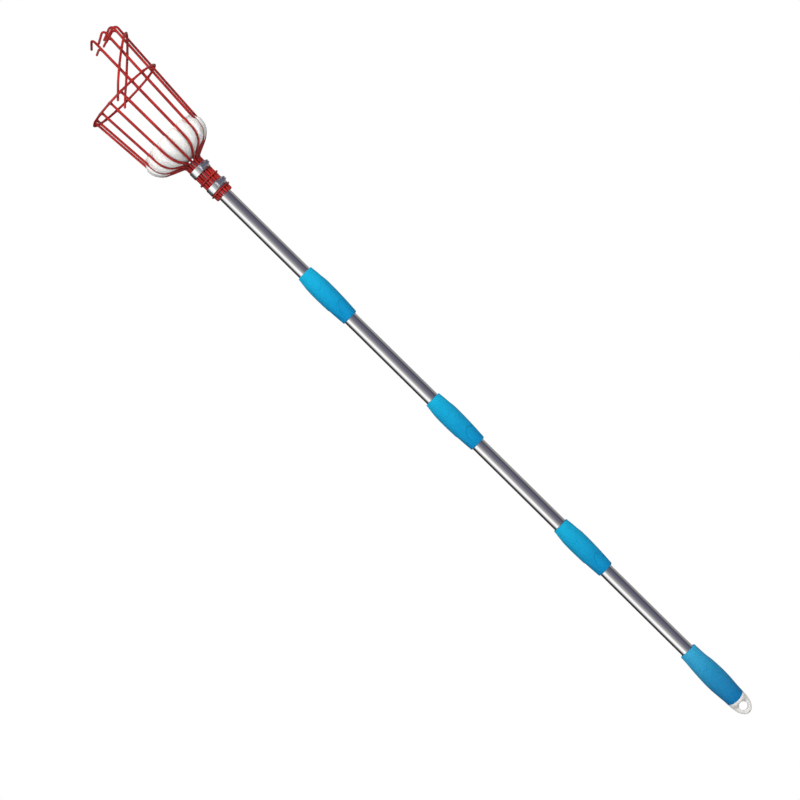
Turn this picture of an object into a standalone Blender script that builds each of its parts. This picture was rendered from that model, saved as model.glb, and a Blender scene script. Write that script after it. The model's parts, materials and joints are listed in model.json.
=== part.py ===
"""A fruit picker: a wire basket clamped to a pole of four screwed-together steel tubes.

The pole stands along +Z, with the basket at its top and the hanging cap at its foot. +X is
the side of the basket's tall picking fingers. The origin is on the pole's axis in the middle
of the handle grip, where a hand holds it. All sizes are in metres.
"""
import math

import bmesh
import bpy
from mathutils import Vector

# Clearances
TOUCH_GAP = 0.0003          # between two pieces that are fixed to each other
RUNNING_GAP = 0.0004        # between two pieces that turn or slide on each other

# Pole
TUBE_RADIUS = 0.0116
TUBE_WALL = 0.0010
LOWEST_SPAN = 0.184         # bare tube from the grip up to the lowest sleeve
MIDDLE_SPAN = 0.185         # bare tube between two sleeves
TOP_SPAN = 0.179            # bare tube from the top sleeve up to the basket's neck
TOP_PLUG_LENGTH = 0.015
TOP_PLUG_HEAD = 0.002

# Screw sleeves
SLEEVE_LENGTH = 0.102
SLEEVE_MOUTH_WALL = 0.0015  # from the threaded bore out
SLEEVE_MIDDLE_WALL = 0.0039
SLEEVE_FOOT_WALL = 0.0014
SLEEVE_FOOT_ROUNDING = 0.0022
SLEEVE_PEAK = 0.40          # where the sleeve is widest, as a share of its length from the mouth
SLEEVE_LIP = 0.012          # length of the lower end that runs on the tube
COLLAR_LENGTH = 0.012
COLLAR_WALL = 0.0011
THREAD_DEPTH = 0.0013
THREAD_LEAD = 0.004
THREAD_TURNS = 5
THREAD_LENGTH = 0.030
SPIGOT_BORE = 0.007
SPIGOT_FLOOR = 0.003
MOUTH_DEPTH = 0.002         # how far the threaded spigot stops below the sleeve's mouth

# Handle
GRIP_LENGTH = 0.112
GRIP_TOP_WALL = 0.0046      # from the tube out
GRIP_MIDDLE_WALL = 0.0074
GRIP_FOOT_WALL = 0.0049
GRIP_PEAK = 0.57
GRIP_ROUNDING = 0.0020
CAP_STEP_IN = 0.0002        # from the grip's foot in to the cap
CAP_LENGTH = 0.028
CAP_SPIGOT_LENGTH = 0.025
TAB_THICKNESS = 0.014
TAB_SHOULDER = 0.004        # from the grip down to where the cap's flat sides start
TAB_FILLET = 0.005
HANG_HOLE_RADIUS = 0.0075
HANG_HOLE_DROP = 0.0135     # hole's centre below the grip

# Basket
WIRE_RADIUS = 0.0020
WIRE_COUNT = 16
FINGER_COUNT = 7
NECK_FIT = 0.0006           # between the tube and the wires around it
NECK_LENGTH = 0.074
BOWL_RADIUS = 0.0549        # corner of the bowl, before it is rounded
BOWL_HEIGHT = 0.018
RIM_HEIGHT = 0.152          # rim ring above the neck's bend
RIM_WIRE_CIRCLE = 0.064     # radius of the circle of wires at the rim
WIRE_END = 0.0015           # short wires' ends above the rim ring's centre
NECK_BEND_RADIUS = 0.007
BOWL_BEND_RADIUS = 0.032
FINGER_HEIGHT = 0.094       # fingers' tops above the rim
FINGER_TIP = 0.030
FINGER_TIP_TILT = math.radians(18)
FINGER_BEND_RADIUS = 0.006
HOOP_APEX = 0.068           # hoop's highest point above the rim
HOOP_SIDE_CLEARANCE = 0.0007    # between the hoop and the side wires' ends that it passes
HOOP_END_ANGLE = math.radians(103)
HOOP_INSIDE_ANGLE = math.radians(93)
HOOP_OUTSIDE_ANGLE = math.radians(76)
NECK_RING_WIRE = 0.0012
NECK_RING_DROPS = {"upper": 0.038, "lower": 0.064}

# Foam pad
PAD_LOW = 0.0045            # lowest wire height that the pad rests on
PAD_WIDEST = 0.041
PAD_EDGE_HEIGHT = 0.054
PAD_EDGE_INSET = 0.0019     # from the bowl's corner in to the pad's upper edge
PAD_CLEARANCE = 0.0010      # between a wire and the groove that it presses into the pad
PAD_SWELL = 0.0085          # from that groove out to the pad between two wires
PAD_EDGE_SWELL = 0.0015
PAD_SHOULDER = (0.86, 0.002)    # share of the edge's radius, and height above the edge
PAD_DISH = (0.25, -0.001)
PAD_RISE_POWER = 1.4
PAD_SWELL_POWER = 1.5
PAD_STEPS_PER_WIRE = 5

# Hose clamps
CLAMP_DROPS = {"upper": 0.018, "lower": 0.0555}
CLAMP_ANGLE = math.radians(-66)
BAND_WIDTH = 0.012
BAND_THICKNESS = 0.0008
HOUSING_LENGTH = 0.012
HOUSING_WIDTH = 0.0126
HOUSING_WALL = 0.0008
HOUSING_ROUNDING = 0.0009
SCREW_RADIUS = 0.0032
SCREW_HEAD_RADIUS = 0.0040
SCREW_HEAD_LENGTH = 0.0035
SCREW_FLANGE_RADIUS = 0.0043
SCREW_FLANGE_LENGTH = 0.0010
SCREW_SLOT_WIDTH = 0.0010
SCREW_SLOT_DEPTH = 0.0015

# Fineness
ROUND_STEPS = 24
BARREL_STEPS = 8
ROUNDING_STEPS = 3
WIRE_BEND_STEPS = 5
THREAD_STEPS_PER_TURN = 8
PAD_STEPS_UP = 5
RIM_STEPS = 40
HOOP_STEPS = 28

# Pieces that fit round one another
THREAD_RADIUS = TUBE_RADIUS + TOUCH_GAP + COLLAR_WALL
SLEEVE_BORE = THREAD_RADIUS + RUNNING_GAP
SLEEVE_MOUTH_RADIUS = SLEEVE_BORE + SLEEVE_MOUTH_WALL
SLEEVE_MIDDLE_RADIUS = SLEEVE_BORE + SLEEVE_MIDDLE_WALL
SLEEVE_FOOT_RADIUS = SLEEVE_BORE + SLEEVE_FOOT_WALL
GRIP_TOP_RADIUS = TUBE_RADIUS + GRIP_TOP_WALL
GRIP_MIDDLE_RADIUS = TUBE_RADIUS + GRIP_MIDDLE_WALL
GRIP_FOOT_RADIUS = TUBE_RADIUS + GRIP_FOOT_WALL
CAP_RADIUS = GRIP_FOOT_RADIUS - CAP_STEP_IN
PAD_EDGE_RADIUS = BOWL_RADIUS - PAD_EDGE_INSET
PAD_GROOVE = WIRE_RADIUS + PAD_CLEARANCE
HOOP_AT_SIDE = WIRE_END + 2 * WIRE_RADIUS + TOUCH_GAP + HOOP_SIDE_CLEARANCE

# Where each piece of the pole is, from the grip upwards
TUBE_BORE = TUBE_RADIUS - TUBE_WALL
GRIP_TOP = GRIP_LENGTH / 2
GRIP_FOOT = -GRIP_LENGTH / 2
SLEEVE_FOOT_3 = GRIP_TOP + LOWEST_SPAN
SLEEVE_FOOT_2 = SLEEVE_FOOT_3 + SLEEVE_LENGTH + MIDDLE_SPAN
SLEEVE_FOOT_1 = SLEEVE_FOOT_2 + SLEEVE_LENGTH + MIDDLE_SPAN
SLEEVE_FEET = {1: SLEEVE_FOOT_1, 2: SLEEVE_FOOT_2, 3: SLEEVE_FOOT_3}
NECK_BEND = SLEEVE_FOOT_1 + SLEEVE_LENGTH + TOP_SPAN + NECK_LENGTH

# Inside a sleeve, above its foot
COLLAR_FOOT = SLEEVE_LIP + RUNNING_GAP
LOWER_TUBE_TOP = COLLAR_FOOT + COLLAR_LENGTH
SPIGOT_FOOT = LOWER_TUBE_TOP + TOUCH_GAP
SOCKET_FLOOR = SPIGOT_FOOT + THREAD_LENGTH + SPIGOT_FLOOR
UPPER_TUBE_FOOT = SOCKET_FLOOR + TOUCH_GAP
SPIGOT_TOP = SLEEVE_LENGTH - MOUTH_DEPTH

# Around the neck
NECK_CIRCLE = TUBE_RADIUS + NECK_FIT + WIRE_RADIUS
NECK_OUTSIDE = NECK_CIRCLE + WIRE_RADIUS + TOUCH_GAP
BAND_OUTSIDE = NECK_OUTSIDE + BAND_THICKNESS
SCREW_BORE = SCREW_RADIUS + RUNNING_GAP
SCREW_CIRCLE = BAND_OUTSIDE + TOUCH_GAP + HOUSING_WALL + SCREW_BORE
WALL_SLOPE = (RIM_WIRE_CIRCLE - BOWL_RADIUS) / (RIM_HEIGHT - BOWL_HEIGHT)
TOUCHING_WIRES = 2 * WIRE_RADIUS + TOUCH_GAP
WIRE_PITCH = 2 * math.pi / WIRE_COUNT

# Colour, roughness and metallic value of each finish
FINISHES = {
    "red_coating": ((0.52, 0.022, 0.012), 0.35, 0.0),
    "polished_steel": ((0.62, 0.62, 0.64), 0.18, 1.0),
    "clamp_steel": ((0.72, 0.73, 0.75), 0.15, 1.0),
    "sleeve_plastic": ((0.010, 0.36, 0.68), 0.38, 0.0),
    "grip_plastic": ((0.014, 0.24, 0.50), 0.42, 0.0),
    "inner_plastic": ((0.05, 0.055, 0.06), 0.5, 0.0),
    "cap_plastic": ((0.80, 0.79, 0.77), 0.45, 0.0),
    "foam": ((0.78, 0.74, 0.66), 0.95, 0.0),
}


def new_collection(name):
    """Make a collection and show it in the scene."""
    collection = bpy.data.collections.new(name)
    bpy.context.scene.collection.children.link(collection)
    return collection


def add_frame(name, height, angle=0.0):
    """Add an empty on the pole's axis, which carries the pieces of one group."""
    frame = bpy.data.objects.new(name, None)
    frame.location.z = height
    frame.rotation_euler.z = angle
    frame.empty_display_size = 0.02
    PICKER.objects.link(frame)
    return frame


def add_piece(name, data, finish, frame, location=(0, 0, 0), rotation=(0, 0, 0)):
    """Add one named piece with its own material, placed in its group's frame."""
    piece = bpy.data.objects.new(name, data)
    piece.parent = frame
    piece.location = location
    piece.rotation_euler = rotation
    PICKER.objects.link(piece)
    colour, roughness, metallic = FINISHES[finish]
    material = bpy.data.materials.new(name + "_" + finish)
    material.use_nodes = True
    shader = material.node_tree.nodes["Principled BSDF"]
    shader.inputs["Base Color"].default_value = (*colour, 1.0)
    shader.inputs["Roughness"].default_value = roughness
    shader.inputs["Metallic"].default_value = metallic
    if not data.materials:
        data.materials.append(None)
    piece.material_slots[0].link = "OBJECT"
    piece.material_slots[0].material = material
    return piece


def add_cutter(name, mesh, frame, location=(0, 0, 0), rotation=(0, 0, 0)):
    """Add a shape that only cuts or joins other pieces."""
    cutter = bpy.data.objects.new(name, mesh)
    cutter.parent = frame
    cutter.location = location
    cutter.rotation_euler = rotation
    cutter.hide_render = True
    cutter.display_type = "WIRE"
    CUTTERS.objects.link(cutter)
    return cutter


def add_boolean(piece, cutter, operation="DIFFERENCE"):
    """Cut a piece with a cutter, or join the cutter to it."""
    boolean = piece.modifiers.new(cutter.name, "BOOLEAN")
    boolean.solver = "EXACT"
    boolean.operation = operation
    boolean.object = cutter


def outline_mesh(name, points, closed):
    """A line of edges through (radius, height) points, on the +X side of the axis."""
    mesh = bpy.data.meshes.new(name)
    bm = bmesh.new()
    corners = [bm.verts.new((radius, 0.0, height)) for radius, height in points]
    for start, end in zip(corners, corners[1:]):
        bm.edges.new((start, end))
    if closed:
        bm.edges.new((corners[-1], corners[0]))
    bm.to_mesh(mesh)
    bm.free()
    return mesh


def add_turning(piece):
    """Turn a piece's outline once around its own Z axis."""
    screw = piece.modifiers.new("turning", "SCREW")
    screw.axis = "Z"
    screw.angle = 2 * math.pi
    screw.steps = ROUND_STEPS
    screw.render_steps = ROUND_STEPS
    screw.use_merge_vertices = True
    screw.merge_threshold = 0.00001
    screw.use_smooth_shade = True


def bulging(away):
    """How far a barrel has narrowed, by the share of the way from its widest point to its end."""
    return away ** 2


def waisted(away):
    """The same for a barrel whose ends run out straight."""
    return (1 - math.cos(math.pi * away)) / 2


def barrel(start, middle, end, peak, length, narrowing):
    """Points down the outside of a barrel, from its start to its end, at heights from length to 0."""
    points = []
    for step in range(BARREL_STEPS + 1):
        share = step / BARREL_STEPS
        if share < peak:
            radius = middle - (middle - start) * narrowing(1 - share / peak)
        else:
            radius = middle - (middle - end) * narrowing((share - peak) / (1 - peak))
        points.append((radius, length * (1 - share)))
    return points


def rounded_path(corners, radii, steps):
    """Straight lines between flat corners, with an arc of the given radius at each inner one."""
    corners = [Vector(corner) for corner in corners]
    points = [corners[0]]
    for before, corner, after, radius in zip(corners, corners[1:], corners[2:], radii):
        back = (before - corner).normalized()
        ahead = (after - corner).normalized()
        half_angle = back.angle(ahead) / 2
        centre = corner + (back + ahead).normalized() * (radius / math.sin(half_angle))
        first = (corner + back * (radius / math.tan(half_angle)) - centre).normalized()
        last = (corner + ahead * (radius / math.tan(half_angle)) - centre).normalized()
        sweep = first.angle(last)
        across = (last - first * last.dot(first)).normalized()
        for step in range(steps + 1):
            turn = sweep * step / steps
            points.append(centre + radius * (first * math.cos(turn) + across * math.sin(turn)))
    points.append(corners[-1])
    return points


def wire_curve(name, points, radius, sides=2):
    """A round wire with closed ends along 3D points."""
    curve = bpy.data.curves.new(name, "CURVE")
    curve.dimensions = "3D"
    curve.bevel_depth = radius
    curve.bevel_resolution = sides
    curve.use_fill_caps = True
    curve.render_resolution_u = 0
    spline = curve.splines.new("POLY")
    spline.points.add(len(points) - 1)
    for spline_point, point in zip(spline.points, points):
        spline_point.co = (*point, 1.0)
    return curve


def mesh_from_curve(curve):
    """The closed mesh of a curve, for a piece that is joined to another."""
    holder = bpy.data.objects.new(curve.name, curve)
    CUTTERS.objects.link(holder)
    depsgraph = bpy.context.evaluated_depsgraph_get()
    mesh = bpy.data.meshes.new_from_object(holder.evaluated_get(depsgraph))
    bpy.data.objects.remove(holder)
    bm = bmesh.new()
    bm.from_mesh(mesh)
    bmesh.ops.remove_doubles(bm, verts=bm.verts, dist=0.00001)
    bmesh.ops.recalc_face_normals(bm, faces=bm.faces)
    bm.to_mesh(mesh)
    bm.free()
    return mesh


def box_mesh(name, size, rounding=0.0):
    """A box about its own centre, with rounded edges if asked."""
    mesh = bpy.data.meshes.new(name)
    bm = bmesh.new()
    bmesh.ops.create_cube(bm, size=1.0)
    bmesh.ops.scale(bm, vec=size, verts=bm.verts)
    if rounding:
        bmesh.ops.bevel(bm, geom=bm.edges, offset=rounding, segments=3, affect="EDGES",
                        profile=0.5, material=-1)
    bm.to_mesh(mesh)
    bm.free()
    return mesh


def rod_mesh(name, radius, length, sides=ROUND_STEPS):
    """A solid round or many-sided rod along Z, about its own centre."""
    mesh = bpy.data.meshes.new(name)
    bm = bmesh.new()
    bmesh.ops.create_cone(bm, cap_ends=True, segments=sides, radius1=radius, radius2=radius,
                          depth=length)
    bm.to_mesh(mesh)
    bm.free()
    return mesh


def add_tube(number, foot, top):
    """One steel tube of the pole, open at both ends."""
    outline = [(TUBE_RADIUS, top), (TUBE_RADIUS, foot), (TUBE_BORE, foot), (TUBE_BORE, top)]
    mesh = outline_mesh(f"tube_{number}_outline", outline, closed=True)
    add_turning(add_piece(f"tube_{number}", mesh, "polished_steel", POLE))


def sleeve_outline():
    """A sleeve: barrelled outside, a lip that runs on the lower tube, a wide bore above it."""
    rounding = SLEEVE_FOOT_ROUNDING
    outside = barrel(SLEEVE_MOUTH_RADIUS, SLEEVE_MIDDLE_RADIUS, SLEEVE_FOOT_RADIUS, SLEEVE_PEAK,
                     SLEEVE_LENGTH - rounding, bulging)
    points = [(radius, height + rounding) for radius, height in outside]
    for step in range(1, ROUNDING_STEPS + 1):
        turn = math.pi / 2 * step / ROUNDING_STEPS
        points.append((SLEEVE_FOOT_RADIUS - rounding * (1 - math.cos(turn)),
                       rounding * (1 - math.sin(turn))))
    lip_radius = TUBE_RADIUS + RUNNING_GAP
    points += [(lip_radius, 0.0), (lip_radius, SLEEVE_LIP), (SLEEVE_BORE, SLEEVE_LIP),
               (SLEEVE_BORE, SLEEVE_LENGTH)]
    return outline_mesh("sleeve_outline", points, closed=True)


def spigot_outline():
    """The threaded spigot's body: a hollow core below, a socket for the upper tube above."""
    core = THREAD_RADIUS - THREAD_DEPTH
    shoulder = SPIGOT_FOOT + THREAD_LENGTH
    socket = TUBE_RADIUS + TOUCH_GAP
    points = [(THREAD_RADIUS, SPIGOT_TOP), (THREAD_RADIUS, shoulder), (core, shoulder),
              (core, SPIGOT_FOOT), (SPIGOT_BORE, SPIGOT_FOOT), (SPIGOT_BORE, SOCKET_FLOOR),
              (socket, SOCKET_FLOOR), (socket, SPIGOT_TOP)]
    return outline_mesh("spigot_outline", points, closed=True)


def thread_mesh():
    """The spigot's raised thread, a ridge that winds up and sinks into the core at both ends."""
    core = THREAD_RADIUS - THREAD_DEPTH
    steps = THREAD_TURNS * THREAD_STEPS_PER_TURN
    fade_steps = THREAD_STEPS_PER_TURN / 2
    start = SPIGOT_FOOT + (THREAD_LENGTH - THREAD_TURNS * THREAD_LEAD) / 2
    points = []
    for step in range(steps + 1):
        turn = 2 * math.pi * THREAD_TURNS * step / steps
        fade = min(1.0, step / fade_steps, (steps - step) / fade_steps)
        radius = core - THREAD_DEPTH * (1.0 - fade) / 2
        height = start + THREAD_LEAD * turn / (2 * math.pi)
        points.append((radius * math.cos(turn), radius * math.sin(turn), height))
    return mesh_from_curve(wire_curve("thread_ridge", points, THREAD_DEPTH - TOUCH_GAP, sides=0))


def add_screw_joints():
    """The three joints of the pole: a sleeve, its collar and the spigot that it screws onto."""
    sleeve = sleeve_outline()
    collar_top = COLLAR_FOOT + COLLAR_LENGTH
    collar_bore = TUBE_RADIUS + TOUCH_GAP
    collar = outline_mesh("collar_outline",
                          [(THREAD_RADIUS, collar_top), (THREAD_RADIUS, COLLAR_FOOT),
                           (collar_bore, COLLAR_FOOT), (collar_bore, collar_top)], closed=True)
    spigot = spigot_outline()
    thread = thread_mesh()
    for number, foot in SLEEVE_FEET.items():
        frame = add_frame(f"screw_joint_{number}_frame", foot)
        add_turning(add_piece(f"sleeve_{number}", sleeve, "sleeve_plastic", frame))
        add_turning(add_piece(f"sleeve_collar_{number}", collar, "inner_plastic", frame))
        plug = add_piece(f"thread_plug_{number}", spigot, "inner_plastic", frame)
        add_turning(plug)
        add_boolean(plug, add_cutter(f"thread_{number}", thread, frame), "UNION")


def add_tubes():
    """Four tubes, from the one in the handle up to the one in the basket's neck."""
    add_tube(4, GRIP_FOOT, SLEEVE_FEET[3] + LOWER_TUBE_TOP)
    for number in (3, 2):
        add_tube(number, SLEEVE_FEET[number] + UPPER_TUBE_FOOT,
                 SLEEVE_FEET[number - 1] + LOWER_TUBE_TOP)
    top = NECK_BEND - TOP_PLUG_HEAD - TOUCH_GAP
    add_tube(1, SLEEVE_FEET[1] + UPPER_TUBE_FOOT, top)
    shank = TUBE_BORE - TOUCH_GAP
    outline = [(0.0, NECK_BEND), (TUBE_RADIUS, NECK_BEND), (TUBE_RADIUS, top + TOUCH_GAP),
               (shank, top + TOUCH_GAP), (shank, NECK_BEND - TOP_PLUG_LENGTH),
               (0.0, NECK_BEND - TOP_PLUG_LENGTH)]
    mesh = outline_mesh("tube_top_plug_outline", outline, closed=False)
    add_turning(add_piece("tube_top_plug", mesh, "inner_plastic", POLE))


def add_grip():
    """The soft barrel of the handle, pushed over the lowest tube."""
    straight = GRIP_LENGTH - 2 * GRIP_ROUNDING
    outside = barrel(GRIP_TOP_RADIUS, GRIP_MIDDLE_RADIUS, GRIP_FOOT_RADIUS, GRIP_PEAK, straight,
                     waisted)
    points = []
    for step in range(ROUNDING_STEPS):
        turn = math.pi / 2 * step / ROUNDING_STEPS
        points.append((GRIP_TOP_RADIUS - GRIP_ROUNDING * (1 - math.sin(turn)),
                       GRIP_TOP - GRIP_ROUNDING * (1 - math.cos(turn))))
    points += [(radius, GRIP_FOOT + GRIP_ROUNDING + height) for radius, height in outside]
    for step in range(1, ROUNDING_STEPS + 1):
        turn = math.pi / 2 * step / ROUNDING_STEPS
        points.append((GRIP_FOOT_RADIUS - GRIP_ROUNDING * (1 - math.cos(turn)),
                       GRIP_FOOT + GRIP_ROUNDING * (1 - math.sin(turn))))
    bore = TUBE_RADIUS + TOUCH_GAP
    points += [(bore, GRIP_FOOT), (bore, GRIP_TOP)]
    mesh = outline_mesh("grip_outline", points, closed=True)
    add_turning(add_piece("handle_grip", mesh, "grip_plastic", POLE))


def add_end_cap():
    """The cap in the pole's foot: a plug in the tube and a flat-sided tab with a hole."""
    frame = add_frame("end_cap_frame", GRIP_FOOT)
    spigot = TUBE_BORE - TOUCH_GAP
    points = [(0.0, CAP_SPIGOT_LENGTH), (spigot, CAP_SPIGOT_LENGTH), (spigot, -TOUCH_GAP)]
    for step in range(2 * BARREL_STEPS + 1):
        turn = math.pi / 2 * step / (2 * BARREL_STEPS)
        drop = (CAP_LENGTH - TOUCH_GAP) * math.sin(turn)
        points.append((CAP_RADIUS * math.cos(turn), -TOUCH_GAP - drop))
    points[-1] = (0.0, -CAP_LENGTH)
    cap = add_piece("end_cap", outline_mesh("end_cap_outline", points, closed=False),
                    "cap_plastic", frame)
    add_turning(cap)
    slab = box_mesh("tab_side", (4 * CAP_RADIUS, 2 * CAP_RADIUS, 2 * CAP_LENGTH), TAB_FILLET)
    for side in (-1, 1):
        offset = side * (TAB_THICKNESS / 2 + CAP_RADIUS)
        cutter = add_cutter(f"tab_side_{'front' if side < 0 else 'back'}", slab, frame,
                            (0, offset, -TAB_SHOULDER - CAP_LENGTH))
        add_boolean(cap, cutter)
    hole = add_cutter("hang_hole", rod_mesh("hang_hole", HANG_HOLE_RADIUS, 4 * CAP_RADIUS), frame,
                      (0, 0, -HANG_HOLE_DROP), (math.pi / 2, 0, 0))
    add_boolean(cap, hole)


def wall_circle(height):
    """Radius of the circle of wires at a height above the neck's bend, on the basket's wall."""
    return BOWL_RADIUS + WALL_SLOPE * (height - BOWL_HEIGHT)


def wire_path(top):
    """One basket wire in its own plane: up the neck, out along the bowl and up the wall."""
    corners = [(NECK_CIRCLE, -NECK_LENGTH), (NECK_CIRCLE, 0.0), (BOWL_RADIUS, BOWL_HEIGHT),
               (wall_circle(top), top)]
    return corners, [NECK_BEND_RADIUS, BOWL_BEND_RADIUS]


def add_basket_wires():
    """Short wires that end at the rim, and tall finger wires whose tips bend inwards."""
    corners, radii = wire_path(RIM_HEIGHT + WIRE_END)
    flat = rounded_path(corners, radii, WIRE_BEND_STEPS)
    short = wire_curve("short_wire", [(radius, 0.0, height) for radius, height in flat],
                       WIRE_RADIUS)
    corners, radii = wire_path(RIM_HEIGHT + FINGER_HEIGHT)
    top_radius, top = corners[-1]
    corners.append((top_radius - FINGER_TIP * math.cos(FINGER_TIP_TILT),
                    top - FINGER_TIP * math.sin(FINGER_TIP_TILT)))
    flat = rounded_path(corners, radii + [FINGER_BEND_RADIUS], WIRE_BEND_STEPS)
    finger = wire_curve("finger_wire", [(radius, 0.0, height) for radius, height in flat],
                        WIRE_RADIUS)
    first_finger = -(FINGER_COUNT // 2)
    for place in range(WIRE_COUNT):
        angle = (first_finger + place) * WIRE_PITCH
        if place < FINGER_COUNT:
            name, curve = f"finger_wire_{place + 1}", finger
        else:
            name, curve = f"short_wire_{place - FINGER_COUNT + 1}", short
        add_piece(name, curve, "red_coating", BASKET, rotation=(0, 0, angle))


def ring_mesh(name, radius, wire, around):
    """A round ring of wire."""
    bpy.ops.mesh.primitive_torus_add(major_radius=radius, minor_radius=wire,
                                     major_segments=around, minor_segments=8)
    maker = bpy.context.object
    mesh = maker.data
    mesh.name = name
    mesh.shade_smooth()
    bpy.data.objects.remove(maker)
    return mesh


def add_rings():
    """The rim ring outside the wires, and the two rings around the neck."""
    rim = ring_mesh("rim_ring", RIM_WIRE_CIRCLE + TOUCHING_WIRES, WIRE_RADIUS, RIM_STEPS)
    add_piece("rim_ring", rim, "red_coating", BASKET, (0, 0, RIM_HEIGHT))
    neck = ring_mesh("neck_ring", NECK_OUTSIDE + NECK_RING_WIRE, NECK_RING_WIRE, ROUND_STEPS)
    for place, drop in NECK_RING_DROPS.items():
        add_piece(f"neck_ring_{place}", neck, "red_coating", BASKET, (0, 0, -drop))


def add_finger_hoop():
    """A tilted half hoop outside the fingers, whose ends pass inside the rim ring."""
    inside = RIM_WIRE_CIRCLE
    reach = wall_circle(RIM_HEIGHT + HOOP_APEX) + TOUCHING_WIRES
    tilt = (HOOP_APEX - HOOP_AT_SIDE) / reach
    points = []
    for step in range(HOOP_STEPS + 1):
        angle = HOOP_END_ANGLE * (2 * step / HOOP_STEPS - 1)
        share = (HOOP_INSIDE_ANGLE - abs(angle)) / (HOOP_INSIDE_ANGLE - HOOP_OUTSIDE_ANGLE)
        share = max(0.0, min(1.0, share))
        ease = share * share * (3 - 2 * share)
        height = HOOP_AT_SIDE + tilt * reach * math.cos(angle)
        outside = wall_circle(RIM_HEIGHT + max(0.0, height)) + TOUCHING_WIRES
        radius = inside + (outside - inside) * ease
        points.append((radius * math.cos(angle), radius * math.sin(angle), RIM_HEIGHT + height))
    add_piece("finger_hoop", wire_curve("finger_hoop", points, WIRE_RADIUS), "red_coating", BASKET)


def wire_at_height(path, height):
    """The point of a wire's path at a height, and the direction out of the basket there."""
    for low, high in zip(path, path[1:]):
        if low.y <= height <= high.y and high.y > low.y:
            point = low.lerp(high, (height - low.y) / (high.y - low.y))
            along = (high - low).normalized()
            return point, Vector((along.y, -along.x))
    return path[-1], Vector((1.0, 0.0))


def pad_levels():
    """Levels of the pad from its foot to its top: radius, height, outward direction, groove, swell."""
    corners, radii = wire_path(RIM_HEIGHT)
    path = rounded_path(corners, radii, 3 * WIRE_BEND_STEPS)[1:]
    levels = [(NECK_CIRCLE - WIRE_RADIUS, PAD_LOW + WIRE_RADIUS, Vector((0, 0)), 0.0, 0.0)]
    for step in range(PAD_STEPS_UP + 1):
        height = PAD_LOW + (PAD_WIDEST - PAD_LOW) * (step / PAD_STEPS_UP) ** PAD_RISE_POWER
        point, outward = wire_at_height(path, height)
        spread = (point.x - NECK_CIRCLE) / (BOWL_RADIUS - NECK_CIRCLE)
        swell = PAD_SWELL * min(1.0, spread) ** PAD_SWELL_POWER
        levels.append((point.x, point.y, outward, PAD_GROOVE, swell))
    level_outward = Vector((1, 0))
    levels.append((PAD_EDGE_RADIUS, PAD_EDGE_HEIGHT, level_outward, 0.0, PAD_EDGE_SWELL))
    for share, lift in (PAD_SHOULDER, PAD_DISH):
        levels.append((PAD_EDGE_RADIUS * share, PAD_EDGE_HEIGHT + lift, level_outward, 0.0, 0.0))
    return levels


def add_foam_pad():
    """The foam pad in the bowl, pressed in behind each wire and swelling out between them."""
    mesh = bpy.data.meshes.new("foam_pad")
    bm = bmesh.new()
    steps = WIRE_COUNT * PAD_STEPS_PER_WIRE
    rings = []
    for radius, height, outward, groove, swell in pad_levels():
        ring = bmesh.ops.create_circle(bm, segments=steps, radius=1.0)["verts"]
        for vert in ring:
            angle = math.atan2(vert.co.y, vert.co.x)
            offset = swell * math.sin(angle * WIRE_COUNT / 2) ** 2 - groove
            away = radius + outward.x * offset
            vert.co = (away * math.cos(angle), away * math.sin(angle), height + outward.y * offset)
        rings.append({edge for vert in ring for edge in vert.link_edges})
        if len(rings) == 1:
            bm.faces.new(ring)
    bm.faces.new(ring)
    for low, high in zip(rings, rings[1:]):
        bmesh.ops.bridge_loops(bm, edges=list(low | high))
    bmesh.ops.recalc_face_normals(bm, faces=bm.faces)
    bm.to_mesh(mesh)
    bm.free()
    mesh.shade_smooth()
    add_piece("foam_pad", mesh, "foam", BASKET)


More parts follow.
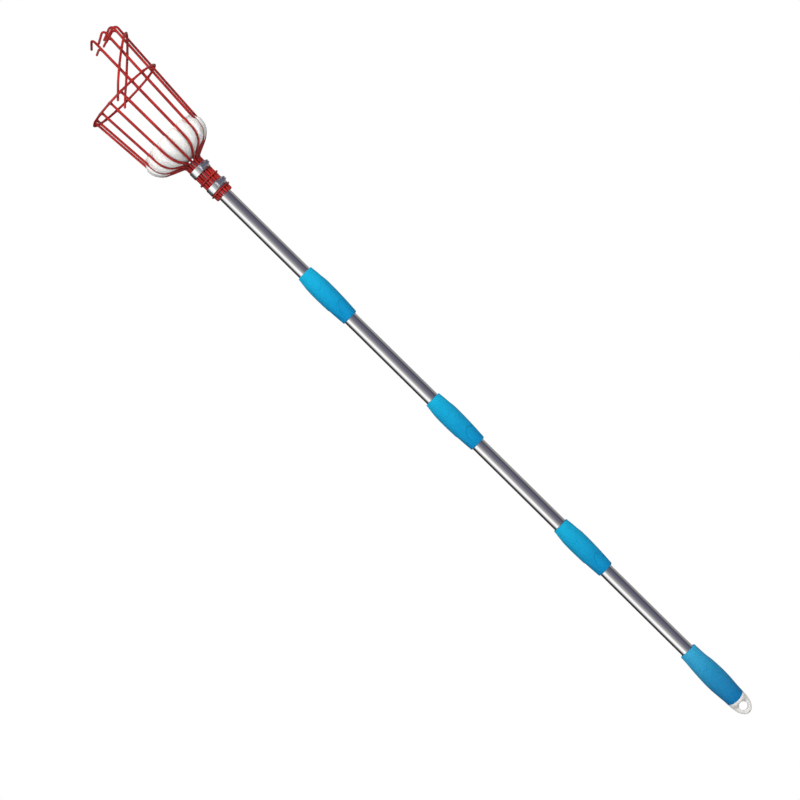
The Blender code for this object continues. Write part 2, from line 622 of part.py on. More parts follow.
def add_clamp(place, drop):
    """A worm-drive hose clamp: its band, the housing on it and the screw in the housing."""
    frame = add_frame(f"{place}_clamp_frame", NECK_BEND - drop, CLAMP_ANGLE)
    half = BAND_WIDTH / 2
    outline = [(BAND_OUTSIDE, half), (BAND_OUTSIDE, -half), (NECK_OUTSIDE, -half),
               (NECK_OUTSIDE, half)]
    band = outline_mesh("clamp_band_outline", outline, closed=True)
    add_turning(add_piece(f"{place}_clamp_band", band, "clamp_steel", frame))

    outer_face = SCREW_CIRCLE + SCREW_BORE + HOUSING_WALL
    depth = outer_face - NECK_OUTSIDE
    housing_mesh = box_mesh("clamp_housing", (depth, HOUSING_LENGTH, HOUSING_WIDTH),
                            HOUSING_ROUNDING)
    housing = add_piece(f"{place}_clamp_housing", housing_mesh, "clamp_steel", frame,
                        (outer_face - depth / 2, 0, 0))
    around_band = rod_mesh("around_band", BAND_OUTSIDE + TOUCH_GAP, 2 * HOUSING_WIDTH)
    add_boolean(housing, add_cutter(f"{place}_around_band", around_band, frame))
    along_housing = (-math.pi / 2, 0, 0)
    bore = rod_mesh("screw_bore", SCREW_BORE, 2 * HOUSING_LENGTH)
    add_boolean(housing, add_cutter(f"{place}_screw_bore", bore, frame, (SCREW_CIRCLE, 0, 0),
                                    along_housing))

    flange_foot = HOUSING_LENGTH / 2 + RUNNING_GAP
    flange_top = flange_foot + SCREW_FLANGE_LENGTH
    outline = [(0.0, flange_top), (SCREW_FLANGE_RADIUS, flange_top),
               (SCREW_FLANGE_RADIUS, flange_foot), (SCREW_RADIUS, flange_foot),
               (SCREW_RADIUS, -flange_foot), (0.0, -flange_foot)]
    shank = outline_mesh("clamp_screw_outline", outline, closed=False)
    screw = add_piece(f"{place}_clamp_screw", shank, "clamp_steel", frame, (SCREW_CIRCLE, 0, 0),
                      along_housing)
    add_turning(screw)
    head_length = SCREW_FLANGE_LENGTH / 2 + SCREW_HEAD_LENGTH
    head = rod_mesh("screw_head", SCREW_HEAD_RADIUS, head_length, 6)
    head_middle = flange_top + SCREW_HEAD_LENGTH - head_length / 2
    add_boolean(screw, add_cutter(f"{place}_screw_head", head, frame,
                                  (SCREW_CIRCLE, head_middle, 0), along_housing), "UNION")
    slot = box_mesh("screw_slot", (4 * SCREW_HEAD_RADIUS, 2 * SCREW_SLOT_DEPTH, SCREW_SLOT_WIDTH))
    head_top = flange_top + SCREW_HEAD_LENGTH
    add_boolean(screw, add_cutter(f"{place}_screw_slot", slot, frame, (SCREW_CIRCLE, head_top, 0)))


for old_object in list(bpy.data.objects):
    bpy.data.objects.remove(old_object)
PICKER = new_collection("fruit_picker")
CUTTERS = new_collection("cutters")
POLE = add_frame("pole_frame", 0.0)
BASKET = add_frame("basket_frame", NECK_BEND)

add_tubes()
add_screw_joints()
add_grip()
add_end_cap()
add_basket_wires()
add_rings()
add_finger_hoop()
add_foam_pad()
for clamp_place, clamp_drop in CLAMP_DROPS.items():
    add_clamp(clamp_place, clamp_drop)
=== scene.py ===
# %% [markdown]
# # A fruit picker with a wire basket
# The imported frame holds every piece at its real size, but plainly. This lesson makes a fine
# version of each piece around it: coated wires, polished tubes, moulded sleeves, foam and
# clamps. Nothing is moved: every size below is read from the frame or named where it is used.

# %% Load the frame
import json
import math
import random

import bmesh
import bpy
from mathutils import Matrix, Vector, noise

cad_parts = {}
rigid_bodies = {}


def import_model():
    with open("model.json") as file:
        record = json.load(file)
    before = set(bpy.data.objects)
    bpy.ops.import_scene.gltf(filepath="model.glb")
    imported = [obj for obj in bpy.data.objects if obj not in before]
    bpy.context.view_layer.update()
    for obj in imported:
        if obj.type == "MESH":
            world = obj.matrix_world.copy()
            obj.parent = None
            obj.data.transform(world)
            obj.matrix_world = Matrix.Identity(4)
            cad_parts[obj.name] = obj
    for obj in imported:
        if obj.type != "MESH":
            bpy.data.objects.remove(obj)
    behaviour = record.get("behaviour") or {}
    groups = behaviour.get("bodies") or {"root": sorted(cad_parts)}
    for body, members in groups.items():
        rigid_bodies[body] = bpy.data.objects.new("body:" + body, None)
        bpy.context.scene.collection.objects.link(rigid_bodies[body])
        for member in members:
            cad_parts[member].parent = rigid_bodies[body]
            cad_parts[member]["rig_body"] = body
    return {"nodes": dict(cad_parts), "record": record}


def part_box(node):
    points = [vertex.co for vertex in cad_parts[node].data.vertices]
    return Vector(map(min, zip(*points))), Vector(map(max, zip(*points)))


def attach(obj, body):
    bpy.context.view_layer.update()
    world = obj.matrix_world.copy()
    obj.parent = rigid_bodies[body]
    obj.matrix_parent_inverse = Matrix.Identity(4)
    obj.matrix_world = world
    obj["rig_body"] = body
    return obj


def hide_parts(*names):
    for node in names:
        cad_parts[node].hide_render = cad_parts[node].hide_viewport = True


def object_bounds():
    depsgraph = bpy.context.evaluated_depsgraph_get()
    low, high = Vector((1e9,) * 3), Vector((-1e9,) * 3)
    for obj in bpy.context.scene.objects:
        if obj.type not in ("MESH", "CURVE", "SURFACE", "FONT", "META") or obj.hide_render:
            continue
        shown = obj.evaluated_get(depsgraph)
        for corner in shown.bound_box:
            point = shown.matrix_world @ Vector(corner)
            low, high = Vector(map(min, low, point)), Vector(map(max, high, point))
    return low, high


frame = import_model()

cad_low, cad_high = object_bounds()
print("the picker is", round((cad_high - cad_low).z, 4), "m long")

# %% [markdown]
# ## The camera and the studio
# The picker leans across the picture from the upper left to the lower right. Leaning the
# object would move it out of its frame, so the camera rolls instead. It stands level with
# the pole's middle and far away with a long lens, so that the rim ring, well above that
# level, is seen a little from below.

# %% Place the camera
CAMERA_ROLL = math.radians(45.4)
CAMERA_DISTANCE = 5.0
CAMERA_TARGET = Vector((-0.0374, 0.0, 0.6651))
FIELD_WIDTH = 1.28              # metres of the object across the picture
SENSOR_WIDTH = 36.0

scene = bpy.context.scene
camera_data = bpy.data.cameras.new("camera")
camera_data.sensor_width = SENSOR_WIDTH
camera_data.lens = SENSOR_WIDTH * CAMERA_DISTANCE / FIELD_WIDTH
camera = bpy.data.objects.new("camera", camera_data)
scene.collection.objects.link(camera)
facing = Matrix.Rotation(math.radians(90), 4, "X")
camera.matrix_world = (Matrix.Translation(CAMERA_TARGET - Vector((0.0, CAMERA_DISTANCE, 0.0)))
                       @ Matrix.Rotation(CAMERA_ROLL, 4, "Y") @ facing)
scene.camera = camera
scene.view_settings.view_transform = "Standard"
print("lens", round(camera_data.lens, 1), "mm")

# %% [markdown]
# Shader nodes are all added in the same way, so one helper makes a node, gives it its
# settings and the values of its inputs, and links other nodes into it.

# %% Helper for shader nodes


def add_node(tree, kind, values=None, links=None, **settings):
    """Add a shader node with settings, values for its inputs and links into them."""
    node = tree.nodes.new("ShaderNode" + kind)
    for name, setting in settings.items():
        setattr(node, name, setting)
    for key, value in (values or {}).items():
        node.inputs[key].default_value = value
    for key, socket in (links or {}).items():
        tree.links.new(socket, node.inputs[key])
    return node


# %% [markdown]
# A polished tube has no colour of its own: it shows the room. The room here is plain and pale
# for soft light, but mirror-like rays see upright bright and dark panels around the picker.
# A colour ramp wound round the compass makes them all at once, and the camera itself sees a
# white backdrop.

# %% Build the studio's surroundings
PANELS = {
    # brightness by the turn from the camera's side towards +X, in degrees
    -180: 0.04, -128: 0.03, -108: 0.05, -100: 0.12, -91: 0.38, -82: 0.74, -71: 1.15,
    -60: 1.35, -42: 1.35, -34: 0.86, -26: 0.66, -14: 0.47, 0: 0.32, 17: 0.205, 36: 0.18,
    52: 0.155, 70: 0.11, 84: 0.08, 93: 0.16, 103: 0.36, 150: 0.36, 166: 0.22, 178: 0.04,
}
WARM, VIOLET, PLAIN = (1.0, 0.98, 0.95), (0.93, 0.93, 1.30), (1.0, 1.0, 1.0)
ROOM_LIGHT = 0.27
ROOM_COLOUR = (0.97, 0.985, 1.0, 1.0)


def panel_tint(turn):
    """Warm beside the steel's highlight, violet on its shaded side, plain elsewhere."""
    if -26 <= turn <= -14:
        return WARM
    return VIOLET if 17 <= turn <= 84 else PLAIN


def add_studio_world():
    """Pale room light, panels for reflections, and white for the camera."""
    world = bpy.data.worlds.new("studio")
    scene.world = world
    world.use_nodes = True
    tree = world.node_tree
    tree.nodes.clear()
    direction = add_node(tree, "TexCoord").outputs["Generated"]
    split = add_node(tree, "SeparateXYZ", links={0: direction})
    toward_camera = add_node(tree, "Math", {1: -1.0}, {0: split.outputs["Y"]},
                             operation="MULTIPLY")
    compass = add_node(tree, "Math", operation="ARCTAN2",
                       links={0: split.outputs["X"], 1: toward_camera.outputs[0]})
    share = add_node(tree, "MapRange", {"From Min": -math.pi, "From Max": math.pi},
                     {"Value": compass.outputs[0]})
    ramp = add_node(tree, "ValToRGB", links={0: share.outputs[0]})
    stops = ramp.color_ramp.elements
    while len(stops) > 1:
        stops.remove(stops[0])
    for number, (turn, bright) in enumerate(PANELS.items()):
        place = (turn + 180) / 360
        stop = stops[0] if number == 0 else stops.new(place)
        stop.position = place
        stop.color = (*[bright * part for part in panel_tint(turn)], 1.0)
    panels = add_node(tree, "Background", links={"Color": ramp.outputs[0]})
    room = add_node(tree, "Background", {"Color": ROOM_COLOUR, "Strength": ROOM_LIGHT})
    backdrop = add_node(tree, "Background", {"Color": (1.0, 1.0, 1.0, 1.0)})
    rays = add_node(tree, "LightPath").outputs
    for_gloss = add_node(tree, "MixShader", links={
        0: rays["Is Glossy Ray"], 1: room.outputs[0], 2: panels.outputs[0]})
    for_camera = add_node(tree, "MixShader", links={
        0: rays["Is Camera Ray"], 1: for_gloss.outputs[0], 2: backdrop.outputs[0]})
    add_node(tree, "OutputWorld", links={"Surface": for_camera.outputs[0]})


add_studio_world()
print(len(PANELS), "panels stand round the picker")

# %% [markdown]
# Large soft lamps model the round shapes. The strongest is above the camera, on the side of
# the basket, so each sleeve is brighter at its upper end and deeper blue below.

# %% Hang the lamps
LAMPS = [
    # name, place, size and power
    ("key_lamp", (-0.3, -3.4, 3.2), 1.4, 150.0),
    ("fill_lamp", (2.4, -3.2, 1.2), 2.6, 16.0),
    ("back_lamp", (0.8, 3.6, 3.0), 2.6, 24.0),
]
LAMP_AIM = Vector((0.0, 0.0, 0.7))

for name, place, size, power in LAMPS:
    lamp_data = bpy.data.lights.new(name, "AREA")
    lamp_data.size = size
    lamp_data.energy = power
    lamp = bpy.data.objects.new(name, lamp_data)
    lamp.location = place
    lamp.visible_glossy = False     # the panels alone are seen in the steel
    lamp.rotation_euler = (LAMP_AIM - Vector(place)).to_track_quat("-Z", "Y").to_euler()
    scene.collection.objects.link(lamp)

# %% [markdown]
# ## Shared surface effects
# Several finishes need the same effects: fine noise that can be stretched into brushed lines
# or drips, a base colour that drifts between two tones, and pores. Each is built once as a
# node group, and every material places it with its own values.

# %% Build the node groups


def stretched_noise(tree, given):
    """Noise on coordinates that are first multiplied, so that it runs in lines."""
    scaled = add_node(tree, "VectorMath", operation="MULTIPLY",
                      links={0: given["Vector"], 1: given["Stretch"]})
    texture = add_node(tree, "TexNoise", {"Scale": 1.0},
                       {"Vector": scaled.outputs[0], "Detail": given["Detail"]})
    spread = add_node(tree, "MapRange", {"From Min": 0.3, "From Max": 0.7},
                      {"Value": texture.outputs["Fac"], "To Min": given["Low"],
                       "To Max": given["High"]})
    return {"Amount": spread.outputs[0]}


def drifting_colour(tree, given):
    """A colour that drifts between two tones in soft patches."""
    texture = add_node(tree, "TexNoise", {"Detail": 5.0},
                       {"Vector": given["Vector"], "Scale": given["Scale"]})
    spread = add_node(tree, "MapRange", {"From Min": 0.32, "From Max": 0.68},
                      {"Value": texture.outputs["Fac"]})
    mix = add_node(tree, "Mix", data_type="RGBA", links={
        "Factor": spread.outputs[0], 6: given["Light Tone"], 7: given["Deep Tone"]})
    return {"Color": mix.outputs[2]}


def pores(tree, given):
    """Small round pores: their depth, and a mask of the deepest of them."""
    cells = add_node(tree, "TexVoronoi", links={key: given[key] for key in ("Vector", "Scale")})
    height, mask = [add_node(tree, "MapRange", {"From Min": low, "From Max": high},
                             {"Value": cells.outputs["Distance"]})
                    for low, high in ((0.05, 0.55), (0.30, 0.12))]
    return {"Height": height.outputs[0], "Mask": mask.outputs[0]}


def build_group(fill, inputs, outputs):
    """A node group with named inputs and outputs, filled by a function that it is named for."""
    group = bpy.data.node_groups.new(fill.__name__, "ShaderNodeTree")
    for direction, sockets in (("INPUT", inputs), ("OUTPUT", outputs)):
        for name, kind in sockets.items():
            group.interface.new_socket(name, in_out=direction, socket_type="NodeSocket" + kind)
    given = group.nodes.new("NodeGroupInput").outputs
    result = group.nodes.new("NodeGroupOutput").inputs
    for name, socket in fill(group, given).items():
        group.links.new(socket, result[name])
    return group


GROUPS = {
    "stretched_noise": build_group(
        stretched_noise, {"Vector": "Vector", "Stretch": "Vector", "Detail": "Float",
                          "Low": "Float", "High": "Float"}, {"Amount": "Float"}),
    "drifting_colour": build_group(
        drifting_colour, {"Vector": "Vector", "Scale": "Float", "Light Tone": "Color",
                          "Deep Tone": "Color"}, {"Color": "Color"}),
    "pores": build_group(pores, {"Vector": "Vector", "Scale": "Float"},
                         {"Height": "Float", "Mask": "Float"}),
}
print("shared effects:", ", ".join(GROUPS))

# %% [markdown]
# ## The finishes
# Each finish starts a new material, and a small class joins the shared effects to it on the
# object's own coordinates. All of the relief is a fraction of a millimetre deep, so bump is
# enough for it.

# %% Helper for the finishes


class Finish:
    """A new material, with helpers that feed its Principled shader."""

    def __init__(self, name, **values):
        self.material = bpy.data.materials.new(name)
        self.material.use_nodes = True
        self.tree = self.material.node_tree
        self.inputs = self.tree.nodes["Principled BSDF"].inputs
        self.place = add_node(self.tree, "TexCoord").outputs["Object"]
        self.normal = None
        for key, value in values.items():
            self.inputs[key.replace("_", " ")].default_value = value

    def feed(self, socket, name):
        """Link a socket into one of the shader's inputs."""
        self.tree.links.new(socket, self.inputs[name])

    def effect(self, name, values):
        """Place a shared group and return its outputs."""
        return add_node(self.tree, "Group", values, {"Vector": self.place},
                        node_tree=GROUPS[name]).outputs

    def drift(self, scale, light, deep):
        """A colour that drifts between a light and a deep tone."""
        return self.effect("drifting_colour", {
            "Scale": scale, "Light Tone": (*light, 1.0), "Deep Tone": (*deep, 1.0)})["Color"]

    def lines(self, stretch, detail, low=0.0, high=1.0):
        """Stretched noise between a low and a high value."""
        return self.effect("stretched_noise", {
            "Stretch": stretch, "Detail": detail, "Low": low, "High": high})["Amount"]

    def relief(self, height, depth):
        """Bump the surface by a height of 0 to 1 times a depth in metres, over what is there."""
        links = {"Height": height}
        if self.normal is not None:
            links["Normal"] = self.normal
        bump = add_node(self.tree, "Bump", {"Strength": 1.0, "Distance": depth}, links)
        self.normal = bump.outputs["Normal"]
        self.feed(self.normal, "Normal")


# %% [markdown]
# The wires are steel rod dipped in red vinyl. The coat is thick and glossy, a little uneven
# where it ran down before it set, and its colour is deeper where it lies thick.

# %% Red vinyl coating


def red_coating():
    """Glossy red dip coating with soft runs and a fine orange-peel skin."""
    finish = Finish("red_vinyl_coating", Roughness=0.34, Coat_Weight=0.25, Coat_Roughness=0.12,
                    Specular_IOR_Level=0.35)
    finish.feed(finish.drift(38.0, (0.480, 0.020, 0.015), (0.250, 0.006, 0.007)), "Base Color")
    finish.feed(finish.lines((160.0, 160.0, 45.0), 3.0, 0.24, 0.46), "Roughness")
    finish.relief(finish.lines((420.0, 420.0, 90.0), 2.0), 0.00008)
    finish.relief(finish.lines((1100.0, 1100.0, 1100.0), 1.0), 0.000012)
    return finish.material


# %% [markdown]
# The tubes are thin stainless steel, polished along their length, with very fine lines that
# run along the pole. Clamp bands are rolled from bright zinc-plated strip, so their lines run
# round the neck, and the plating is slightly clouded.

# %% Polished and plated steel


def polished_steel():
    """Bright steel with fine lengthwise polishing lines and dull patches."""
    finish = Finish("polished_steel_tube", Roughness=0.14, Metallic=1.0)
    finish.feed(finish.drift(14.0, (0.80, 0.79, 0.79), (0.70, 0.69, 0.71)), "Base Color")
    finish.feed(finish.lines((1300.0, 1300.0, 4.0), 3.0, 0.06, 0.13), "Roughness")
    finish.relief(finish.lines((900.0, 900.0, 2.0), 1.0), 0.0000012)
    return finish.material


def clamp_steel():
    """Bright plated strip with lines round the neck."""
    finish = Finish("plated_clamp_steel", Roughness=0.2, Metallic=1.0)
    finish.feed(finish.drift(160.0, (0.86, 0.87, 0.88), (0.70, 0.72, 0.76)), "Base Color")
    lines = finish.lines((60.0, 60.0, 4200.0), 3.0, 0.12, 0.30)
    finish.feed(lines, "Roughness")
    finish.relief(lines, 0.00003)
    return finish.material


# %% [markdown]
# The sleeves, the grip, the cap and the hidden plugs are moulded plastic. They share one
# recipe: two tones of one colour, a fine grain from the mould, and faint rubbing marks along
# the pole that change the gloss. The blue pieces also carry painted light and shade: lighter
# at the mouth and deeper at the foot, as the lamp above the basket lights them. A point
# attribute of the mesh says how far along a point is, and another marks the painted shade on
# the slopes round the finger flats.

# %% Moulded plastics
# painted shade on the slopes round the finger flats
FLAT_EDGE_SHADE = (0.72, 0.74, 0.80, 1.0)
# painted shade at the foot and painted light at the mouth of the blue pieces
SLEEVE_FOOT_SHADE = (0.30, 0.66, 0.80, 1.0)
GRIP_FOOT_SHADE = (0.22, 0.50, 0.68, 1.0)
MOUTH_LIGHT = (2.2, 1.10, 1.00, 1.0)


def paint_light_and_shade(tree, base, foot_shade):
    """Multiply in painted light and shade by how far along the piece a point is, and painted shade
    at the edges of the flats.
    """
    along, edge = [add_node(tree, "Attribute", attribute_name=name).outputs["Fac"]
                   for name in ("along_piece", "flat_edge_shade")]
    ramp = add_node(tree, "ValToRGB", links={0: along})
    for stop, tint in zip(ramp.color_ramp.elements, (foot_shade, MOUTH_LIGHT)):
        stop.color = tint
    # painted light and shade along the piece, from the foot's shade to the mouth's light
    lit_along = add_node(tree, "Mix", {"Factor": 1.0}, {6: base, 7: ramp.outputs["Color"]},
                      data_type="RGBA", blend_type="MULTIPLY")
    # painted shade on the slopes round the flats
    edge_shaded = add_node(tree, "Mix", {7: FLAT_EDGE_SHADE}, {"Factor": edge, 6: lit_along.outputs[2]},
                     data_type="RGBA", blend_type="MULTIPLY")
    return edge_shaded.outputs[2]


def moulded_plastic(name, light, deep, roughness, grain_depth, foot_shade=None):
    """Moulded plastic with mould grain, colour drift and rubbed streaks; with a foot shade, painted
    light and shade along the piece.
    """
    finish = Finish(name, Roughness=roughness, Specular_IOR_Level=0.12)
    base = finish.drift(26.0, light, deep)
    if foot_shade:
        base = paint_light_and_shade(finish.tree, base, foot_shade)
    finish.feed(base, "Base Color")
    finish.feed(finish.lines((240.0, 240.0, 30.0), 4.0, roughness - 0.08, roughness + 0.12),
                "Roughness")
    finish.relief(finish.effect("pores", {"Scale": 1500.0})["Height"], grain_depth)
    finish.relief(finish.lines((3200.0, 3200.0, 3200.0), 2.0), grain_depth / 2)
    return finish.material


# %% [markdown]
# The pad is soft open-cell foam, cut from sheet. Its pores are what the eye reads as foam:
# larger ones darkened with painted shade among many small ones, on a cream that varies from
# place to place.

# %% Foam
PORE_SHADE = (0.78, 0.76, 0.72, 1.0)


def foam():
    """Open-cell foam: pores of two sizes, painted shade in the large ones, and a cream colour that
    drifts.
    """
    finish = Finish("cream_foam", Roughness=0.95, Subsurface_Weight=0.18,
                    Subsurface_Radius=(0.006, 0.005, 0.004), Sheen_Weight=0.25)
    large, small = [finish.effect("pores", {"Scale": scale}) for scale in (620.0, 1700.0)]
    colour = finish.drift(60.0, (0.93, 0.925, 0.91), (0.86, 0.85, 0.82))
    # painted shade in the deepest part of the large pores
    pore_shaded = add_node(finish.tree, "Mix", {7: PORE_SHADE}, {"Factor": large["Mask"], 6: colour},
                      data_type="RGBA", blend_type="MULTIPLY")
    finish.feed(pore_shaded.outputs[2], "Base Color")
    finish.relief(large["Height"], 0.0005)
    finish.relief(small["Height"], 0.0002)
    return finish.material


FINISHES = {
    "red_coating": red_coating(),
    "polished_steel": polished_steel(),
    "clamp_steel": clamp_steel(),
    "sleeve_plastic": moulded_plastic("sky_blue_sleeve", (0.0040, 0.370, 0.650),
                                      (0.0028, 0.335, 0.600), 0.40, 0.00003, SLEEVE_FOOT_SHADE),
    "grip_plastic": moulded_plastic("deep_blue_grip", (0.018, 0.345, 0.625),
                                    (0.012, 0.305, 0.570), 0.46, 0.00006, GRIP_FOOT_SHADE),
    # dark plastic for the plugs; its dark colour also stands in as painted shade in the gaps where
    # they show
    "inner_plastic": moulded_plastic("dark_inner_plastic_gap_shade", (0.060, 0.058, 0.060),
                                     (0.035, 0.034, 0.038), 0.50, 0.00004),
    "cap_plastic": moulded_plastic("ivory_cap", (0.86, 0.845, 0.82), (0.78, 0.765, 0.74),
                                   0.40, 0.00003),
    "foam": foam(),
}
print(len(FINISHES), "finishes are ready")


# %% [markdown]
# ## How a piece joins the frame
# Every fine piece stands for one node of the frame. It rides on that node's body, hides the
# node and takes the same material slot, so one helper does all three.

# %% Helper that hands a finished mesh to the frame
SLOT_OF_NODE = {part["node"]: part["material_slot"] for part in frame["record"]["subparts"]}
SHARP_ANGLE = math.radians(38)
SAME_POINT = 0.000002           # points closer than this are merged


def face_outwards(bm):
    """Point all faces of a closed shape outwards."""
    bmesh.ops.recalc_face_normals(bm, faces=bm.faces)


def to_mesh(name, bm):
    """Turn a bmesh into a mesh and free it."""
    mesh = bpy.data.meshes.new(name)
    bm.to_mesh(mesh)
    bm.free()
    return mesh


def add_piece(name, bm, node):
    """Turn a finished bmesh into the piece that stands for one node of the frame."""
    bmesh.ops.remove_doubles(bm, verts=bm.verts, dist=SAME_POINT)
    face_outwards(bm)
    mesh = to_mesh(name, bm)
    mesh.shade_smooth()
    mesh.set_sharp_from_angle(angle=SHARP_ANGLE)
    mesh.materials.append(FINISHES[SLOT_OF_NODE[node]])
    piece = bpy.data.objects.new(name, mesh)
    scene.collection.objects.link(piece)
    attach(piece, frame["nodes"][node]["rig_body"])
    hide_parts(node)
    return piece


def middle_of(node):
    """The middle of a node's box."""
    low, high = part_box(node)
    return (low + high) / 2


# %% [markdown]
# ## Turned pieces
# Tubes, sleeves, collars and plugs are all round about the pole. Each starts as an outline
# of a few points, which `spin` turns once around the axis. A rounded edge in the outline is
# a short arc, because real edges catch a thin line of light.

# %% Helpers for turned pieces
TURN_STEPS = 96


def arc_points(centre, radius, start, end, steps=5):
    """Points of an arc in the outline's plane, by angles in degrees from outwards to up."""
    points = []
    for step in range(steps + 1):
        angle = math.radians(start + (end - start) * step / steps)
        points.append((centre[0] + radius * math.cos(angle), centre[1] + radius * math.sin(angle)))
    return points


def rounded_side(radius, low, high, edge):
    """The outside of a plain round piece, with both of its edges rounded."""
    return (arc_points((radius - edge, high - edge), edge, 90, 0, 3)
            + arc_points((radius - edge, low + edge), edge, 0, -90, 3))


def spin_round(bm, geom, angle, steps, lift=0.0, merge=False):
    """Spin vertices, edges or a face round the pole's axis, with a lift at each step."""
    bmesh.ops.spin(bm, geom=geom, cent=(0, 0, 0), axis=(0, 0, 1), dvec=(0, 0, lift),
                   angle=angle, steps=steps, use_merge=merge, use_duplicate=False)


def face_from(bm, points, y=0.0):
    """A face whose corners are given by (radius, height)."""
    return bm.faces.new([bm.verts.new((radius, y, height)) for radius, height in points])


def turned(outline, steps=TURN_STEPS, closed=True):
    """Spin an outline of (radius, height) points once around the pole's axis."""
    bm = bmesh.new()
    corners = [bm.verts.new((radius, 0.0, height)) for radius, height in outline]
    pairs = list(zip(corners, corners[1:]))
    if closed:
        pairs.append((corners[-1], corners[0]))
    edges = [bm.edges.new(pair) for pair in pairs]
    spin_round(bm, corners + edges, 2 * math.pi, steps, merge=True)
    bmesh.ops.remove_doubles(bm, verts=bm.verts, dist=SAME_POINT)
    return bm


# %% [markdown]
# ### Tubes
# A tube is cut square, then its two ends are lightly broken with a file so that they slide
# into their sockets. The four differ only in where they start and stop.

# %% Tubes
TUBE_WALL = 0.0010
BROKEN_EDGE = 0.00025
TOUCH_GAP = 0.0003              # between pieces that are pressed or welded together
RUNNING_GAP = 0.0004            # between pieces that turn or slide


def tube(number):
    """One polished tube, from its node's foot to its top."""
    low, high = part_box(f"tube_{number}")
    inner = high.x - TUBE_WALL
    outline = rounded_side(high.x, low.z, high.z, BROKEN_EDGE)
    outline += [(inner, low.z), (inner, high.z)]
    return add_piece(f"steel_tube_{number}", turned(outline), f"tube_{number}")


for tube_number in (1, 2, 3, 4):
    tube(tube_number)
tube_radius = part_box("tube_1")[1].x
print("tubes are", round(2000 * tube_radius, 1), "mm across")

# %% [markdown]
# ### Sleeves and grip
# The sleeves swell in the middle, and shallow oval flats for the fingers are pressed in at
# both ends. `spin` gives the barrel, and then the points inside each oval are moved in, with
# a short slope around them. The step is geometry, because it breaks the barrel's outline.

# %% Barrels with finger flats
FLAT_DEPTH = 0.0008
FLAT_SLOPE = 0.07               # width of the slope around a flat, as a share of its size
BORE_MARGIN = 0.0008            # points this close to the bore are not pressed in
BARREL_TURN_STEPS = 168
BARREL_LENGTH_STEPS = 96


def held(value):
    """A value held between 0 and 1."""
    return max(0.0, min(1.0, value))


def eased(value):
    """The same with a soft start and stop."""
    share = held(value)
    return share * share * (3 - 2 * share)


def bulging(away):
    """How far a barrel has narrowed, by the share of the way from its middle to its end."""
    return away ** 2


def waisted(away):
    """The same for a barrel whose ends run out straight."""
    return (1 - math.cos(math.pi * away)) / 2


def barrel_outline(low, high, shape, narrowing, rounding, steps=BARREL_LENGTH_STEPS):
    """Outside of a barrel from its mouth down to its foot, with rounded end edges."""
    foot, middle, mouth, peak = shape
    points = arc_points((mouth - rounding[0], high - rounding[0]), rounding[0], 90, 0)
    top, bottom = high - rounding[0], low + rounding[1]
    for step in range(1, steps):
        share = step / steps
        if share < peak:
            radius = middle - (middle - mouth) * narrowing(1 - share / peak)
        else:
            radius = middle - (middle - foot) * narrowing((share - peak) / (1 - peak))
        points.append((radius, top + (bottom - top) * share))
    return points + arc_points((foot - rounding[1], bottom), rounding[1], 0, -90)


def press_flats(bm, flats, bore):
    """Press oval flats into a barrel: (turn in degrees, height, half width, half height)."""
    along_piece = bm.verts.layers.float.new("along_piece")
    flat_edge_shade = bm.verts.layers.float.new("flat_edge_shade")
    heights = [vert.co.z for vert in bm.verts]
    foot, length = min(heights), max(heights) - min(heights)
    for vert in bm.verts:
        radius = math.hypot(vert.co.x, vert.co.y)
        vert[along_piece] = (vert.co.z - foot) / length
        if radius < bore + BORE_MARGIN:
            continue
        turn = math.atan2(vert.co.y, vert.co.x)
        pressed = 0.0
        for angle, height, half_width, half_height in flats:
            away = (turn - math.radians(angle) + math.pi) % (2 * math.pi) - math.pi
            oval = math.hypot(away * radius / half_width, (vert.co.z - height) / half_height)
            pressed = max(pressed, eased((1 + FLAT_SLOPE / 2 - oval) / FLAT_SLOPE))
        # mask of painted shade, strongest halfway down each flat's slope
        vert[flat_edge_shade] = 4 * pressed * (1 - pressed)
        shrink = (radius - FLAT_DEPTH * pressed) / radius
        vert.co.x *= shrink
        vert.co.y *= shrink


SLEEVE_SHAPE = (0.0148, 0.0173, 0.0149, 0.40)   # radius at foot, middle and mouth, and the peak
SLEEVE_ROUNDING = (0.0005, 0.0024)              # at the mouth and at the foot
SLEEVE_BORE = 0.0134
SLEEVE_LIP = 0.012
THREAD_LEAD = 0.004
INNER_THREAD = (0.0002, 0.0006)  # depth and half width of the thread in the sleeve
UPPER_FLAT_TURN = -97           # the flats face the camera, a little to each side of it
LOWER_FLAT_TURN = -62
UPPER_FLAT = (0.0145, 0.036)    # half width of a flat, and how far it runs in from the end
LOWER_FLAT = (0.0135, 0.032)


def sleeve(number):
    """One sleeve: barrel outside, running lip and threaded bore inside, six finger flats."""
    low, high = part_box(f"sleeve_{number}")
    lip = tube_radius + RUNNING_GAP
    outline = barrel_outline(low.z, high.z, SLEEVE_SHAPE, bulging, SLEEVE_ROUNDING)
    outline += [(lip, low.z), (lip, low.z + SLEEVE_LIP), (SLEEVE_BORE, low.z + SLEEVE_LIP)]
    depth, half = INNER_THREAD
    height = low.z + SLEEVE_LIP + 2 * THREAD_LEAD
    while height < high.z - THREAD_LEAD:
        outline += [(SLEEVE_BORE, height), (SLEEVE_BORE - depth, height + half),
                    (SLEEVE_BORE, height + 2 * half)]
        height += THREAD_LEAD
    outline.append((SLEEVE_BORE, high.z))
    bm = turned(outline, BARREL_TURN_STEPS)
    flats = []
    for third in range(3):
        flats.append((UPPER_FLAT_TURN + 120 * third, high.z, *UPPER_FLAT))
        flats.append((LOWER_FLAT_TURN + 120 * third, low.z, *LOWER_FLAT))
    press_flats(bm, flats, SLEEVE_BORE)
    return add_piece(f"blue_sleeve_{number}", bm, f"sleeve_{number}")


